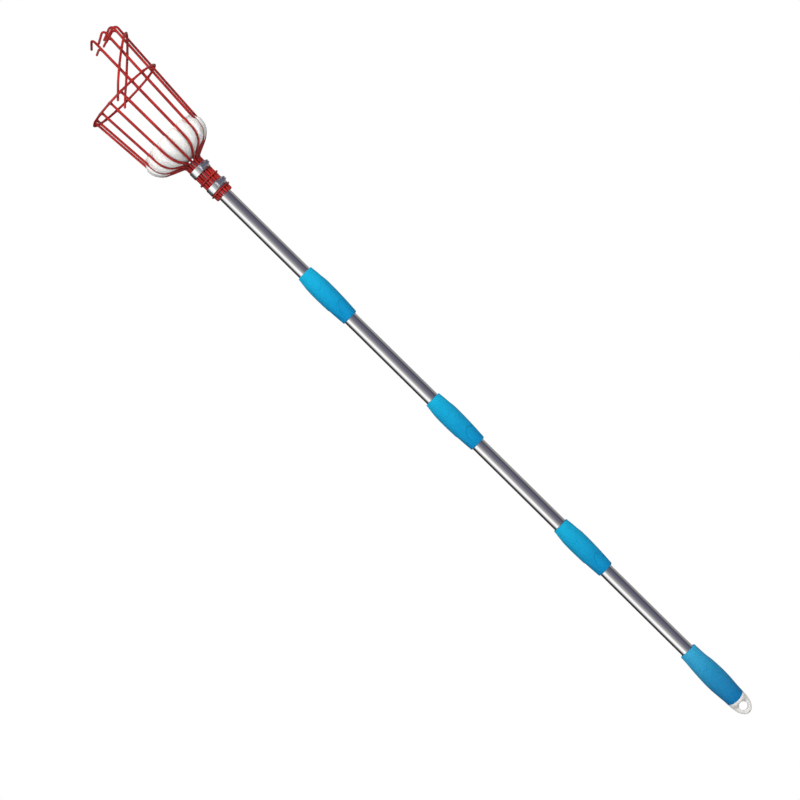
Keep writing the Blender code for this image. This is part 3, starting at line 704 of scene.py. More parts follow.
for sleeve_number in (1, 2, 3):
    sleeve(sleeve_number)

# %% [markdown]
# The grip is a longer barrel whose ends run out straight. Its foot isn't cut square: it dips
# at the front and back and rises at the sides, and the cap below follows the same line.

# %% Grip
GRIP_SHAPE = (0.0165, 0.0190, 0.0162, 0.57)
GRIP_ROUNDING = (0.0014, 0.0016)
GRIP_FLAT = (0.0150, 0.040)
FOOT_RISE = 0.0036              # how much higher the grip's foot is at the sides
FOOT_RISE_INSIDE = 0.0120       # the rise starts at this radius
FOOT_RISE_OUTSIDE = 0.0155      # and is full at this one
FOOT_RISE_REACH = 0.018         # height over which the rise fades out


def foot_rise(point, away):
    """How much the line between the grip and the cap is lifted at a point near it."""
    radius = math.hypot(point.x, point.y)
    outwards = held((radius - FOOT_RISE_INSIDE) / (FOOT_RISE_OUTSIDE - FOOT_RISE_INSIDE))
    fade = max(0.0, 1 - away / FOOT_RISE_REACH)
    return FOOT_RISE * (point.x / max(radius, 0.001)) ** 2 * outwards * fade


def grip():
    """The handle's grip: a waisted barrel with finger flats above and a wavy foot."""
    low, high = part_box("handle_grip")
    outline = barrel_outline(low.z, high.z, GRIP_SHAPE, waisted, GRIP_ROUNDING)
    bore = tube_radius + TOUCH_GAP
    outline += [(bore, low.z), (bore, high.z)]
    bm = turned(outline, BARREL_TURN_STEPS)
    flats = [(UPPER_FLAT_TURN + 120 * third, high.z, *GRIP_FLAT) for third in range(3)]
    press_flats(bm, flats, bore)
    for vert in bm.verts:
        vert.co.z += foot_rise(vert.co, vert.co.z - low.z)
    return add_piece("blue_handle_grip", bm, "handle_grip")


grip()

# %% [markdown]
# ### Collars, threaded spigots and the top plug
# These are inside the sleeves and show when the pole is unscrewed. The spigot's thread is a
# true screw thread: a small triangle that `spin` turns and lifts at the same time, one lead
# for each turn, laid on the turned core.

# %% Inner pieces of the screw joints
THREAD_TURNS = 6
THREAD_DEPTH = 0.0013
THREAD_LENGTH = 0.030
RIDGE_ROOT = 0.0004             # how far the ridge is sunk into the core
RIDGE_CREST = 0.0002            # half width of the ridge's crest, and its gap to the box
RIDGE_FOOT = 0.0013             # half width of the ridge's foot
SPIGOT_BORE = 0.007
SPIGOT_FLOOR = 0.003
INNER_STEPS = 64


def collar(number):
    """The collar on the lower tube's end, which keeps the sleeve from coming off."""
    low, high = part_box(f"sleeve_collar_{number}")
    bore = tube_radius + TOUCH_GAP
    outline = rounded_side(high.x, low.z, high.z, 0.0006)
    outline += [(bore, low.z), (bore, high.z)]
    return add_piece(f"retaining_collar_{number}", turned(outline, INNER_STEPS),
                     f"sleeve_collar_{number}")


def spigot(number):
    """The threaded spigot on the upper tube's end."""
    low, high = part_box(f"thread_plug_{number}")
    outer = high.x
    core, socket = outer - THREAD_DEPTH, tube_radius + TOUCH_GAP
    thread_top = low.z + THREAD_LENGTH
    floor_top = thread_top + SPIGOT_FLOOR
    outline = (arc_points((outer - 0.0005, high.z - 0.0005), 0.0005, 90, 0, 3)
               + [(outer, thread_top), (core, thread_top), (core, low.z), (SPIGOT_BORE, low.z),
                  (SPIGOT_BORE, floor_top), (socket, floor_top), (socket, high.z)])
    bm = turned(outline, INNER_STEPS)
    start = low.z + (thread_top - low.z - THREAD_TURNS * THREAD_LEAD) / 2 + 0.001
    root, crest = core - RIDGE_ROOT, outer - RIDGE_CREST
    ridge = face_from(bm, [(root, start - RIDGE_FOOT), (crest, start - RIDGE_CREST),
                           (crest, start + RIDGE_CREST), (root, start + RIDGE_FOOT)])
    turns = THREAD_TURNS - 1
    steps = 32 * turns
    spin_round(bm, [ridge], 2 * math.pi * turns, steps, lift=THREAD_LEAD * turns / steps)
    return add_piece(f"threaded_spigot_{number}", bm, f"thread_plug_{number}")


def top_plug():
    """The flanged plug in the uppermost tube's mouth."""
    low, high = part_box("tube_top_plug")
    edge, shank = 0.0005, tube_radius - TUBE_WALL - TOUCH_GAP
    flange = high.z - 0.002
    outline = ([(0.0, high.z)] + arc_points((high.x - edge, high.z - edge), edge, 90, 0, 3)
               + [(high.x, flange), (shank, flange), (shank, low.z + 0.001),
                  (shank - 0.001, low.z), (0.0, low.z)])
    return add_piece("tube_mouth_plug", turned(outline, 48, closed=False), "tube_top_plug")


for joint_number in (1, 2, 3):
    collar(joint_number)
    spigot(joint_number)
top_plug()

# %% [markdown]
# ### End cap
# The cap is round where it meets the grip and flattens into a rounded tab. It grows as a
# stack of rings that change from a circle to a flat-sided oval, joined with `bridge_loops`.
# The hanging hole is cut with a turned tool that flares at both ends, so the rim of the hole
# is dished like the moulded one.

# %% End cap
TAB_HALF = 0.007
HOLE_RADIUS = 0.0075
HOLE_DROP = 0.0135              # hole's centre below the grip
HOLE_FLARE = 0.0022
CAP_STEP_IN = 0.0002            # from the grip's foot in to the cap
CAP_LEVELS = 40
FLATTENING = 0.008              # drop over which the cap turns from round to flat
SQUARENESS = 0.32
HOLE_TOOL_HALF = 0.03


def verts_in(geom):
    """The vertices among the parts that an operator gives back."""
    return [part for part in geom if isinstance(part, bmesh.types.BMVert)]


def bridge_rings(bm, rings):
    """Join each ring of vertices to the next with faces."""
    loops = [{edge for vert in ring for edge in vert.link_edges} for ring in rings]
    for first, second in zip(loops, loops[1:]):
        bmesh.ops.bridge_loops(bm, edges=list(first | second))


def boolean(bm, tool, operation="DIFFERENCE"):
    """Cut or join one bmesh with another, exactly, and return the result."""
    holders = []
    for part in (bm, tool):
        face_outwards(part)
        holders.append(bpy.data.objects.new("boolean_part", to_mesh("boolean_part", part)))
        scene.collection.objects.link(holders[-1])
    work, cutter = holders
    modifier = work.modifiers.new("cut", "BOOLEAN")
    modifier.operation = operation
    modifier.solver = "EXACT"
    modifier.object = cutter
    result = bmesh.new()
    evaluated = work.evaluated_get(bpy.context.evaluated_depsgraph_get())
    result.from_mesh(evaluated.to_mesh())
    evaluated.to_mesh_clear()
    for holder in holders:
        bpy.data.objects.remove(holder)
    return result


def tab_half_thickness(drop, width):
    """Half the cap's thickness at a drop below the grip: round above, flat below."""
    return min(width, width + (TAB_HALF - width) * eased((drop - 0.002) / FLATTENING))


def end_cap():
    """The ivory cap: tapering tab, dished hanging hole and the plug up into the tube."""
    low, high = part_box("end_cap")
    grip_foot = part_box("handle_grip")[0].z
    top, full = grip_foot - TOUCH_GAP, GRIP_SHAPE[0] - CAP_STEP_IN
    length = top - low.z
    bm = bmesh.new()
    rings = []
    for level in range(CAP_LEVELS + 1):
        angle = math.pi / 2 * level / CAP_LEVELS
        drop = length * math.sin(angle) if level < CAP_LEVELS else length * 0.9997
        width = full * max(0.02, math.cos(angle))
        thick = tab_half_thickness(drop, width)
        ring = bmesh.ops.create_circle(bm, segments=96, radius=1.0)["verts"]
        squareness = 1.0 - SQUARENESS * held((drop - 0.003) / FLATTENING)
        for vert in ring:
            along = math.copysign(abs(vert.co.x) ** squareness, vert.co.x)
            across = math.copysign(abs(vert.co.y) ** squareness, vert.co.y)
            reach = math.hypot(along, across) ** (1 - squareness)
            vert.co = (width * along / max(1.0, reach), thick * across, top - drop)
        rings.append(ring)
    bm.faces.new(rings[-1])
    bridge_rings(bm, rings)
    flange = bm.faces.new(rings[0])
    plug_radius = tube_radius - TUBE_WALL - TOUCH_GAP
    bmesh.ops.inset_region(bm, faces=[flange], thickness=full - plug_radius)
    for vert in bm.verts:
        vert.co.z += foot_rise(vert.co, top - vert.co.z)
    raised = bmesh.ops.extrude_face_region(bm, geom=[flange])["geom"]
    bmesh.ops.translate(bm, vec=(0, 0, high.z - top), verts=verts_in(raised))
    if flange.is_valid:
        bmesh.ops.delete(bm, geom=[flange], context="FACES_ONLY")
    reach = TAB_HALF + 0.0002
    flared = HOLE_RADIUS + HOLE_FLARE
    outline = [(0.0, HOLE_TOOL_HALF), (flared, HOLE_TOOL_HALF), (flared, reach)]
    outline += arc_points((flared, reach - HOLE_FLARE), HOLE_FLARE, 90, 180)
    outline += arc_points((flared, HOLE_FLARE - reach), HOLE_FLARE, 180, 270)
    outline += [(flared, -HOLE_TOOL_HALF), (0.0, -HOLE_TOOL_HALF)]
    tool = turned(outline, 72, closed=False)
    lay_down = Matrix.Translation((0, 0, grip_foot - HOLE_DROP)) @ Matrix.Rotation(
        math.radians(90), 4, "X")
    bmesh.ops.transform(tool, matrix=lay_down, verts=tool.verts)
    return add_piece("ivory_end_cap", boolean(bm, tool), "end_cap")


end_cap()

# %% [markdown]
# ## Basket wires
# A wire is bent from straight rod, so its path is straight runs joined by round bends. The
# mesh starts as one round face at the foot of the neck, and `extrude_face_region` pulls it
# along the path, turning it at each step. The coat pools where wires are welded, which is
# what fills the corners there, and it rounds the cut ends over.

# %% Helpers for wires
WIRE_SIDES = 16
POOL_DEPTH = 0.00045
POOL_REACH = 0.0030


def bent_path(corners, bends, spacing):
    """Straight runs between 3D corners with round bends, as evenly spaced points."""
    points = [corners[0].copy()]
    for before, corner, after, radius in zip(corners, corners[1:], corners[2:], bends):
        back, ahead = (before - corner).normalized(), (after - corner).normalized()
        half = back.angle(ahead) / 2
        centre = corner + (back + ahead).normalized() * (radius / math.sin(half))
        first = (corner + back * (radius / math.tan(half)) - centre).normalized()
        last = (corner + ahead * (radius / math.tan(half)) - centre).normalized()
        sweep = first.angle(last)
        across = (last - first * last.dot(first)).normalized()
        steps = max(8, round(sweep * radius / spacing))
        for step in range(steps + 1):
            turn = sweep * step / steps
            points.append(centre + radius * (first * math.cos(turn) + across * math.sin(turn)))
    points.append(corners[-1].copy())
    even = [points[0]]
    for start, end in zip(points, points[1:]):
        runs = max(1, math.ceil((end - start).length / spacing))
        even += [start.lerp(end, run / runs) for run in range(1, runs + 1)]
    return even


def with_round_ends(points, radius, first=True, last=True):
    """Replace a path's ends by a few close points, with the radius a round end has there."""
    route = [(point, radius) for point in points]
    caps = [math.radians(angle) for angle in (8, 30, 55, 75)]
    for at_start, wanted in ((True, first), (False, last)):
        if not wanted:
            continue
        end, beside = (points[0], points[1]) if at_start else (points[-1], points[-2])
        inward = (beside - end).normalized()
        cap = [(end + inward * radius * (1 - math.sin(angle)), radius * math.cos(angle))
               for angle in reversed(caps)]
        keep = [(p, r) for p, r in route if (p - end).length > radius * 1.05]
        route = cap + keep if at_start else keep + cap[::-1]
    return route


def wire(route, pools=()):
    """Pull a round face along a route of (point, radius), swollen near the pools."""
    bm = bmesh.new()
    points = [point for point, _ in route]
    sizes = []
    for point, radius in route:
        swell = max([math.exp(-((point - pool).length / POOL_REACH) ** 2) for pool in pools] + [0])
        sizes.append(radius + POOL_DEPTH * swell * min(1.0, radius / 0.001))
    ahead = (points[1] - points[0]).normalized()
    place = Matrix.Translation(points[0]) @ ahead.to_track_quat("Z", "X").to_matrix().to_4x4()
    bmesh.ops.create_circle(bm, cap_ends=True, segments=WIRE_SIDES, radius=sizes[0], matrix=place)
    face = bm.faces[:][0]
    turning = ahead.to_track_quat("Z", "X")
    for number in range(1, len(points)):
        before = points[number] - points[number - 1]
        after = points[min(number + 1, len(points) - 1)] - points[number]
        tangent = (before.normalized() + after.normalized()).normalized()
        turned_to = ahead.rotation_difference(tangent) @ turning
        grown = sizes[number] / sizes[number - 1]
        move = (Matrix.Translation(points[number]) @ turned_to.to_matrix().to_4x4()
                @ Matrix.Scale(grown, 4) @ turning.to_matrix().to_4x4().inverted()
                @ Matrix.Translation(-points[number - 1]))
        pulled = bmesh.ops.extrude_face_region(bm, geom=[face])["geom"]
        old_face = face
        face = next(part for part in pulled if isinstance(part, bmesh.types.BMFace))
        if old_face.is_valid and number > 1:
            bmesh.ops.delete(bm, geom=[old_face], context="FACES_ONLY")
        bmesh.ops.transform(bm, matrix=move, verts=verts_in(pulled))
        ahead, turning = tangent, turned_to
    return bm


# %% [markdown]
# The sizes of the basket come from its nodes: the rim ring gives the wire's thickness and
# the circle that the wires stand on, and one short wire gives the neck. The hoop that holds
# the fingers crosses each of them on a slanting plane, and those crossings are pools too.

# %% Read the basket from the frame
WIRE_COUNT = 16
FINGER_COUNT = 7
BOWL_CORNER = (0.0549, 0.018)   # radius and height of the bowl's corner before it is bent
NECK_BEND = 0.007
BOWL_BEND = 0.032
FINGER_BEND = 0.006
FINGER_TIP = 0.030
FINGER_TILT = math.radians(18)
POINT_SPACING = 0.0022

rim_low, rim_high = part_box("rim_ring")
wire_radius = (rim_high.z - rim_low.z) / 2
rim_height = middle_of("rim_ring").z
rim_radius = rim_high.x - wire_radius
wall_at_rim = rim_radius - 2 * wire_radius - TOUCH_GAP
neck_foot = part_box("short_wire_5")[0].z
neck_circle = -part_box("short_wire_5")[1].x + wire_radius
bend_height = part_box("tube_top_plug")[1].z
finger_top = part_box("finger_wire_4")[1].z - wire_radius
wall_slope = (wall_at_rim - BOWL_CORNER[0]) / (rim_height - bend_height - BOWL_CORNER[1])


def wall_circle(height):
    """Radius of the circle of wires at a height on the basket's wall."""
    return BOWL_CORNER[0] + wall_slope * (height - bend_height - BOWL_CORNER[1])


print("rim", round(2000 * rim_radius), "mm across, neck", round(2000 * neck_circle, 1), "mm")

# %% Hoop's path
HOOP_END = math.radians(103)
HOOP_INSIDE = math.radians(93)
HOOP_OUTSIDE = math.radians(76)
HOOP_AT_SIDE = 0.0065
hoop_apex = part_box("finger_hoop")[1].z - wire_radius - rim_height
hoop_reach = wall_circle(rim_height + hoop_apex) + 2 * wire_radius + TOUCH_GAP


def hoop_point(angle):
    """The hoop's centre line at an angle round the basket."""
    ease = eased((HOOP_INSIDE - abs(angle)) / (HOOP_INSIDE - HOOP_OUTSIDE))
    height = HOOP_AT_SIDE + (hoop_apex - HOOP_AT_SIDE) * math.cos(angle)
    outside = wall_circle(rim_height + max(0.0, height)) + 2 * wire_radius + TOUCH_GAP
    radius = wall_at_rim + (outside - wall_at_rim) * ease
    return Vector((radius * math.cos(angle), radius * math.sin(angle), rim_height + height))


# %% [markdown]
# No two fingers of a hand-welded basket stand quite alike. Each leans a little and its tip
# points a few degrees to one side. The small changes come from seeded chance, so that they
# are the same each time.

# %% Short wires and finger wires
FINGER_LEAN = 0.0012
TIP_TURN = math.radians(5)
chance = random.Random(7)


def wire_angle(place):
    """The angle round the basket of one of its sixteen places; the fingers come first."""
    return (place - FINGER_COUNT // 2) * 2 * math.pi / WIRE_COUNT


def basket_wire(place):
    """The wire at one of the sixteen places around the basket."""
    angle = wire_angle(place)
    is_finger = place < FINGER_COUNT
    outward = Vector((math.cos(angle), math.sin(angle), 0.0))
    sideways = Vector((-math.sin(angle), math.cos(angle), 0.0))
    upward = Vector((0.0, 0.0, 1.0))
    lean = chance.uniform(-FINGER_LEAN, FINGER_LEAN) if is_finger else 0.0
    twist = chance.uniform(-TIP_TURN, TIP_TURN)
    top = finger_top if is_finger else rim_height + 0.0015
    corners = [outward * neck_circle + upward * neck_foot,
               outward * neck_circle + upward * bend_height,
               outward * BOWL_CORNER[0] + upward * (bend_height + BOWL_CORNER[1]),
               outward * wall_circle(top) + upward * top + sideways * lean]
    bends = [NECK_BEND, BOWL_BEND]
    pools = [outward * wall_at_rim + upward * rim_height]
    if is_finger:
        pools.append(hoop_point(angle) - outward * 2 * wire_radius)
        inward = sideways * math.sin(twist) - outward * math.cos(twist)
        corners.append(corners[-1] + FINGER_TIP * (inward * math.cos(FINGER_TILT)
                                                   - upward * math.sin(FINGER_TILT)))
        bends.append(FINGER_BEND)
    route = with_round_ends(bent_path(corners, bends, POINT_SPACING), wire_radius)
    node = f"finger_wire_{place + 1}" if is_finger else f"short_wire_{place - FINGER_COUNT + 1}"
    return add_piece("red_" + node, wire(route, pools), node)


for wire_place in range(WIRE_COUNT):
    basket_wire(wire_place)
print("made", WIRE_COUNT, "wires,", FINGER_COUNT, "of them fingers")

# %% [markdown]
# ### Rings and hoop
# A ring is a round face spun once round the pole, then its points are pushed out wherever a
# wire is welded to it. The hoop is pulled along its own path, like a wire.

# %% Rim ring, neck rings and hoop


def ring(node, wire_size, weld_count, pool):
    """A closed ring of wire, swollen where each of the wires is welded to it."""
    low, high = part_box(node)
    height, radius = (low.z + high.z) / 2, high.x - wire_size
    outline = arc_points((radius, height), wire_size, 0, 360 - 360 / WIRE_SIDES, WIRE_SIDES - 1)
    bm = turned(outline, 192)
    for vert in bm.verts:
        turn = math.atan2(vert.co.y, vert.co.x)
        core = Vector((radius * math.cos(turn), radius * math.sin(turn), height))
        pitch = 2 * math.pi / weld_count
        away = abs((turn + pitch / 2) % pitch - pitch / 2) * radius
        swell = 1 + pool / wire_size * math.exp(-(away / POOL_REACH) ** 2)
        vert.co = core + (vert.co - core) * swell
    return add_piece("red_" + node, bm, node)


ring("rim_ring", wire_radius, WIRE_COUNT, POOL_DEPTH)
for ring_place in ("upper", "lower"):
    ring_node = f"neck_ring_{ring_place}"
    ring_wire = (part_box(ring_node)[1].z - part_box(ring_node)[0].z) / 2
    ring(ring_node, ring_wire, WIRE_COUNT, POOL_DEPTH / 3)

HOOP_STEPS = 120
hoop_points = [hoop_point(HOOP_END * (2 * step / HOOP_STEPS - 1)) for step in range(HOOP_STEPS + 1)]
hoop_pools = [hoop_point(wire_angle(place)) for place in range(FINGER_COUNT)]
add_piece("red_finger_hoop", wire(with_round_ends(hoop_points, wire_radius), hoop_pools),
          "finger_hoop")

# %% [markdown]
# ## Foam pad
# The pad is a thick disc of foam pushed down into the bowl. Each wire presses a groove into
# it, and between two wires the foam pushes out in a flat lobe with a crisp edge. A simulation
# of solid foam would be slow and hard to steer, so the pad is sculpted: rings of points
# follow the wires, the grooves come from a power of a cosine, and a little noise makes every
# lobe different.

# %% Foam pad
PAD_LOW = 0.0045
PAD_WIDEST = 0.041
PAD_GROOVE = 0.0029
PAD_SWELL = 0.0083
PAD_EDGE = (0.0530, 0.054)      # radius and height of the pad's upper edge
LOBE_CRISPNESS = 6
PAD_LIP_SWELL = 0.0012
PAD_RISE_STEPS = 20
PAD_STEPS = WIRE_COUNT * 16


def wall_point(height):
    """Radius, height and outward direction of the wires' centre line above the bend."""
    for low, high in zip(pad_path, pad_path[1:]):
        if low.z <= height <= high.z and high.z > low.z:
            point = low.lerp(high, (height - low.z) / (high.z - low.z))
            along = (high - low).normalized()
            return point.x, point.z, Vector((along.z, 0.0, -along.x))
    raise ValueError("the height is off the wire's path")


def pad_levels():
    """Rings of the pad, foot to top: radius, height, outward, groove and swell."""
    still, sideways = Vector((0.0, 0.0, 0.0)), Vector((1.0, 0.0, 0.0))
    levels = [(0.0035, 0.0066, still, 0.0, 0.0),
              (neck_circle - wire_radius, 0.0063, still, 0.0, 0.0)]
    for step in range(PAD_RISE_STEPS + 1):
        height = PAD_LOW + (PAD_WIDEST - PAD_LOW) * (step / PAD_RISE_STEPS) ** 1.4
        radius, level, outward = wall_point(height)
        spread = min(1.0, (radius - neck_circle) / (BOWL_CORNER[0] - neck_circle))
        levels.append((radius, level, outward, PAD_GROOVE, PAD_SWELL * spread ** 1.5))
    radius, level, outward = wall_point(PAD_WIDEST)
    for step in range(1, 11):
        share = step / 10
        levels.append((radius + (PAD_EDGE[0] - radius) * share,
                       level + (PAD_EDGE[1] - level) * share, sideways,
                       PAD_GROOVE * (1 - share),
                       PAD_SWELL + (PAD_LIP_SWELL - PAD_SWELL) * share))
    for share, lift in ((0.985, 0.0010), (0.95, 0.0017), (0.88, 0.0022), (0.75, 0.0020),
                        (0.6, 0.0010), (0.42, 0.0), (0.25, -0.0006), (0.08, -0.0008)):
        swell = PAD_LIP_SWELL * max(0.0, (share - 0.6) / 0.4)
        levels.append((PAD_EDGE[0] * share, PAD_EDGE[1] + lift, sideways, 0.0, swell))
    return levels


pad_corners = [Vector((neck_circle, 0.0, neck_foot - bend_height)), Vector((neck_circle, 0, 0)),
               Vector((BOWL_CORNER[0], 0.0, BOWL_CORNER[1])),
               Vector((wall_at_rim, 0.0, rim_height - bend_height))]
pad_path = bent_path(pad_corners, [NECK_BEND, BOWL_BEND], 0.001)[1:]


def foam_pad():
    """The pad, ring by ring, with its lobes roughened by seeded noise."""
    bm = bmesh.new()
    lobes = random.Random(3)
    fullness = [lobes.uniform(0.80, 1.0) for _ in range(WIRE_COUNT)]
    edge_lift = [lobes.uniform(-0.0022, 0.0010) for _ in range(WIRE_COUNT)]
    rings = []
    for radius, level, outward, groove, swell in pad_levels():
        loop = bmesh.ops.create_circle(bm, segments=PAD_STEPS, radius=1.0)["verts"]
        high_up = held((level - PAD_WIDEST) / (PAD_EDGE[1] - PAD_WIDEST))
        for vert in loop:
            angle = math.atan2(vert.co.y, vert.co.x)
            lobe = int((angle % (2 * math.pi)) / (2 * math.pi) * WIRE_COUNT) % WIRE_COUNT
            ridge = 1 - abs(math.cos(angle * WIRE_COUNT / 2)) ** LOBE_CRISPNESS
            rough = noise.noise(Vector((60 * radius * math.cos(angle),
                                        60 * radius * math.sin(angle), 70 * level)))
            offset = ridge * (swell * fullness[lobe] + 0.0007 * rough * (swell > 0)) - groove
            outer = min(1.0, radius / PAD_EDGE[0]) ** 3
            lift = edge_lift[lobe] * ridge * high_up * outer + 0.0005 * rough * high_up
            away = radius + outward.x * offset
            vert.co = (away * math.cos(angle), away * math.sin(angle),
                       bend_height + level + outward.z * offset + lift)
        rings.append(loop)
    bm.faces.new(rings[0])
    bm.faces.new(rings[-1])
    bridge_rings(bm, rings)
    return add_piece("cream_foam_pad", bm, "foam_pad")


foam_pad()

# %% [markdown]
# ## Hose clamps
# A worm-drive clamp is a slotted steel strip bent into a ring, with its free end under a
# stamped housing. The screw in the housing has a worm thread that bites the slots. The strip
# is spun, its slots are faces that are inset and pushed in, and the housing is a saddle on
# the strip with a round hump over the screw.

# %% Clamp pieces
CLAMP_TURN = math.radians(-66)
BAND_STEPS = 144
STRIP = 0.0008
SLOT_EVERY = 3
SLOT_DEPTH = 0.00035
HOUSING_HALF = 0.0060
HOUSING_SHEET = 0.0008
SCREW_CORE = 0.0027
SCREW_SHANK = 0.0032
SCREW_CLEARANCE = 0.0004
SADDLE = 0.0012                 # thickness of the housing's saddle
HEAD_ACROSS = 0.0040
HEAD_LENGTH = 0.0035
HEAD_SUNK = 0.0005
WORM_PITCH = 0.0016
BAND_ROLL = 0.0003              # how far the strip's edges are rolled over
BAND_ROWS = 6
TAIL_LIFT = 0.0001
TAIL_SWEEP = math.radians(62)
LAY_ALONG_Y = Matrix.Rotation(math.radians(-90), 4, "X")
ring_low, ring_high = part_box("neck_ring_upper")
clamp_radius = ring_high.x - (ring_high.z - ring_low.z) + STRIP
screw_circle = clamp_radius + TOUCH_GAP + HOUSING_SHEET + SCREW_SHANK + SCREW_CLEARANCE


def turn_round(bm, angle):
    """Turn a bmesh round the pole's axis."""
    bmesh.ops.rotate(bm, cent=(0, 0, 0), matrix=Matrix.Rotation(angle, 3, "Z"), verts=bm.verts)


def clamp_frame(place):
    """Where a clamp is: its middle height, and the turn that brings +X to its housing."""
    height = middle_of(f"{place}_clamp_band").z
    return Matrix.Translation((0, 0, height)) @ Matrix.Rotation(CLAMP_TURN, 4, "Z")


def clamp_band(place):
    """The strip: a spun ring with rolled edges, worm slots and its overlapping tail."""
    low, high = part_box(f"{place}_clamp_band")
    outer, inner = clamp_radius, clamp_radius - STRIP
    half, roll = (high.z - low.z) / 2, BAND_ROLL
    outline = [(outer - roll, half), (outer, half - roll)]
    outline += [(outer, (half - roll) * (1 - 2 * row / BAND_ROWS)) for row in range(1, BAND_ROWS)]
    outline += [(outer, roll - half), (outer - roll, -half), (inner, -half), (inner, half)]
    bm = turned(outline, BAND_STEPS)
    slots = []
    for face in bm.faces:
        middle = face.calc_center_median()
        if math.hypot(middle.x, middle.y) < outer - roll or abs(middle.z) > half * 0.7:
            continue
        turn = math.degrees(math.atan2(middle.y, middle.x))
        column = round((turn + 180) / (360 / BAND_STEPS) - 0.5)
        if -175 < turn < -75 and column % SLOT_EVERY == 0:
            slots.append(face)
    bmesh.ops.inset_region(bm, faces=slots, thickness=0.00008, depth=-SLOT_DEPTH)
    tail = bmesh.new()
    inside, edge = outer + TAIL_LIFT, half * 0.96
    face = face_from(tail, [(inside, edge), (inside, -edge), (inside + STRIP, -edge),
                            (inside + STRIP, edge)])
    spin_round(tail, [face], TAIL_SWEEP, 24)
    turn_round(tail, CLAMP_TURN)
    face_outwards(tail)
    mesh = to_mesh("tail", tail)
    bm.from_mesh(mesh)
    bpy.data.meshes.remove(mesh)
    bmesh.ops.transform(bm, matrix=clamp_frame(place), verts=bm.verts)
    return add_piece(f"{place}_slotted_band", bm, f"{place}_clamp_band")


def clamp_housing(place):
    """The stamped housing: a curved saddle and a hump that runs over the screw."""
    low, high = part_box(f"{place}_clamp_housing")
    half, half_turn = (high.z - low.z) / 2, math.asin(HOUSING_HALF / clamp_radius)
    bore_radius = SCREW_SHANK + SCREW_CLEARANCE
    hump = bore_radius + HOUSING_SHEET
    bm = bmesh.new()
    base = clamp_radius + TOUCH_GAP
    face = face_from(bm, [(base, half), (base, -half), (base + SADDLE, -half),
                          (base + SADDLE, half)])
    spin_round(bm, [face], 2 * half_turn, 20)
    turn_round(bm, -half_turn)
    face_outwards(bm)
    over = bmesh.new()
    shell = [(clamp_radius, -hump)]
    shell += [(screw_circle + hump * math.sin(math.radians(a)), -hump * math.cos(math.radians(a)))
              for a in range(0, 181, 12)]
    side = face_from(over, shell + [(clamp_radius, hump)], -HOUSING_HALF)
    pulled = bmesh.ops.extrude_face_region(over, geom=[side], use_keep_orig=True)["geom"]
    bmesh.ops.translate(over, vec=(0, 2 * HOUSING_HALF, 0), verts=verts_in(pulled))
    face_outwards(over)
    bore = bmesh.new()
    along = Matrix.Translation((screw_circle, 0, 0)) @ LAY_ALONG_Y
    bmesh.ops.create_cone(bore, cap_ends=True, segments=32, radius1=bore_radius,
                          radius2=bore_radius, depth=4 * HOUSING_HALF, matrix=along)
    over = boolean(boolean(over, bm, "UNION"), bore)
    bmesh.ops.transform(over, matrix=clamp_frame(place), verts=over.verts)
    return add_piece(f"{place}_stamped_housing", over, f"{place}_clamp_housing")


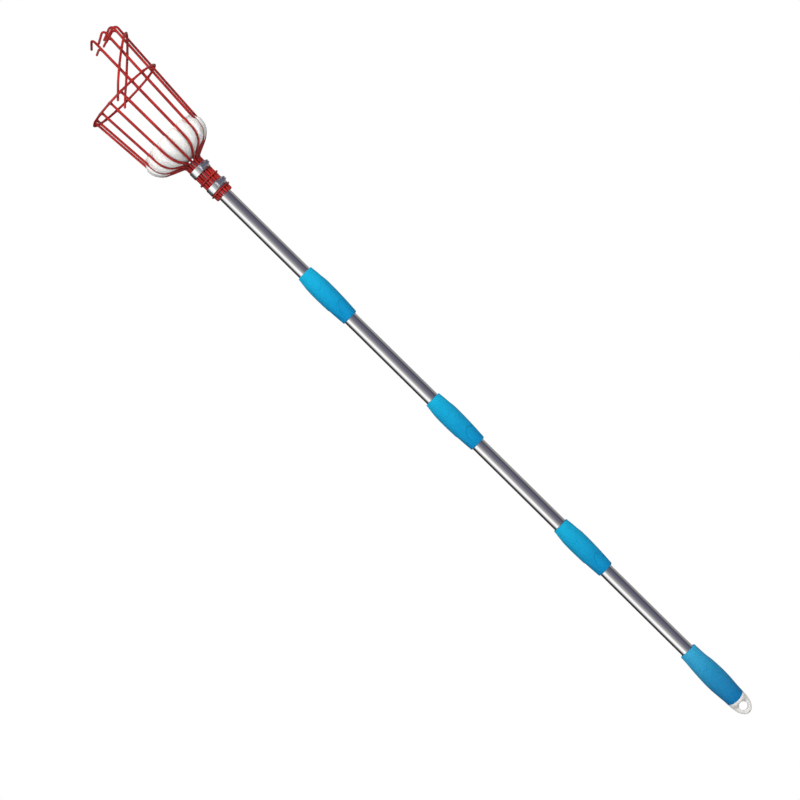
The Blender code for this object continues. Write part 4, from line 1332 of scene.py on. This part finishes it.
def clamp_screw(place):
    """The worm screw: ribbed shank, flange and a slotted hexagon head."""
    flange_foot = HOUSING_HALF + SCREW_CLEARANCE
    flange_top = flange_foot + 0.0010
    outline = [(0.0, flange_top)] + arc_points((0.0040, flange_top - 0.0003), 0.0003, 90, 0, 2)
    outline += [(0.0043, flange_foot), (SCREW_SHANK, flange_foot)]
    height = flange_foot - SCREW_CLEARANCE
    while height - WORM_PITCH > -HOUSING_HALF:
        outline += [(radius, height - share * WORM_PITCH) for radius, share in (
            (SCREW_SHANK, 0.0), (SCREW_SHANK, 0.3), (SCREW_CORE, 0.5), (SCREW_CORE, 0.8))]
        height -= WORM_PITCH
    outline += [(SCREW_CORE, -HOUSING_HALF), (0.0, -HOUSING_HALF)]
    shank = turned(outline, 48, closed=False)
    head = bmesh.new()
    head_top = flange_top + HEAD_LENGTH
    sunk_length = HEAD_LENGTH + HEAD_SUNK
    bmesh.ops.create_cone(head, cap_ends=True, segments=6, radius1=HEAD_ACROSS,
                          radius2=HEAD_ACROSS, depth=sunk_length,
                          matrix=Matrix.Translation((0, 0, head_top - sunk_length / 2)))
    rim = [edge for edge in head.edges if min(vert.co.z for vert in edge.verts) > head_top - 1e-5]
    bmesh.ops.bevel(head, geom=rim, offset=0.0005, segments=3, affect="EDGES", profile=0.5,
                    material=-1)
    slot = bmesh.new()
    bmesh.ops.create_cube(slot, size=1.0, matrix=Matrix.Translation((0, 0, head_top))
                          @ Matrix.Diagonal((0.02, 0.0010, 0.0030, 1.0)))
    bm = boolean(boolean(shank, head, "UNION"), slot)
    lay = clamp_frame(place) @ Matrix.Translation((screw_circle, 0, 0)) @ LAY_ALONG_Y
    bmesh.ops.transform(bm, matrix=lay, verts=bm.verts)
    return add_piece(f"{place}_worm_screw", bm, f"{place}_clamp_screw")


for clamp_place in ("upper", "lower"):
    clamp_band(clamp_place)
    clamp_housing(clamp_place)
    clamp_screw(clamp_place)

# %% [markdown]
# ## The floor
# The pole's cap stands on a wide pale floor, which is the lower right corner of the picture.
# To the camera it glows as white as the backdrop, and to every other ray it is a plain pale
# floor, so the steel doesn't turn white in it.

# %% Floor
FLOOR_SIZE = 60.0


def floor():
    """A wide pale floor under the cap, with a faint speckle."""
    finish = Finish("pale_floor", Roughness=0.8)
    finish.feed(finish.drift(3.0, (0.80, 0.80, 0.80), (0.77, 0.77, 0.77)), "Base Color")
    tree = finish.tree
    glow, rays = add_node(tree, "Emission"), add_node(tree, "LightPath")
    mix = add_node(tree, "MixShader", links={
        0: rays.outputs["Is Camera Ray"], 1: tree.nodes["Principled BSDF"].outputs[0],
        2: glow.outputs[0]})
    tree.links.new(mix.outputs[0], tree.nodes["Material Output"].inputs["Surface"])
    bm = bmesh.new()
    bmesh.ops.create_circle(bm, cap_ends=True, segments=64, radius=FLOOR_SIZE,
                            matrix=Matrix.Translation((0, 0, cad_low.z)))
    mesh = to_mesh("floor", bm)
    mesh.materials.append(finish.material)
    ground = bpy.data.objects.new("floor", mesh)
    ground.visible_glossy = False   # the steel sees the panels below the floor line too
    scene.collection.objects.link(ground)


floor()
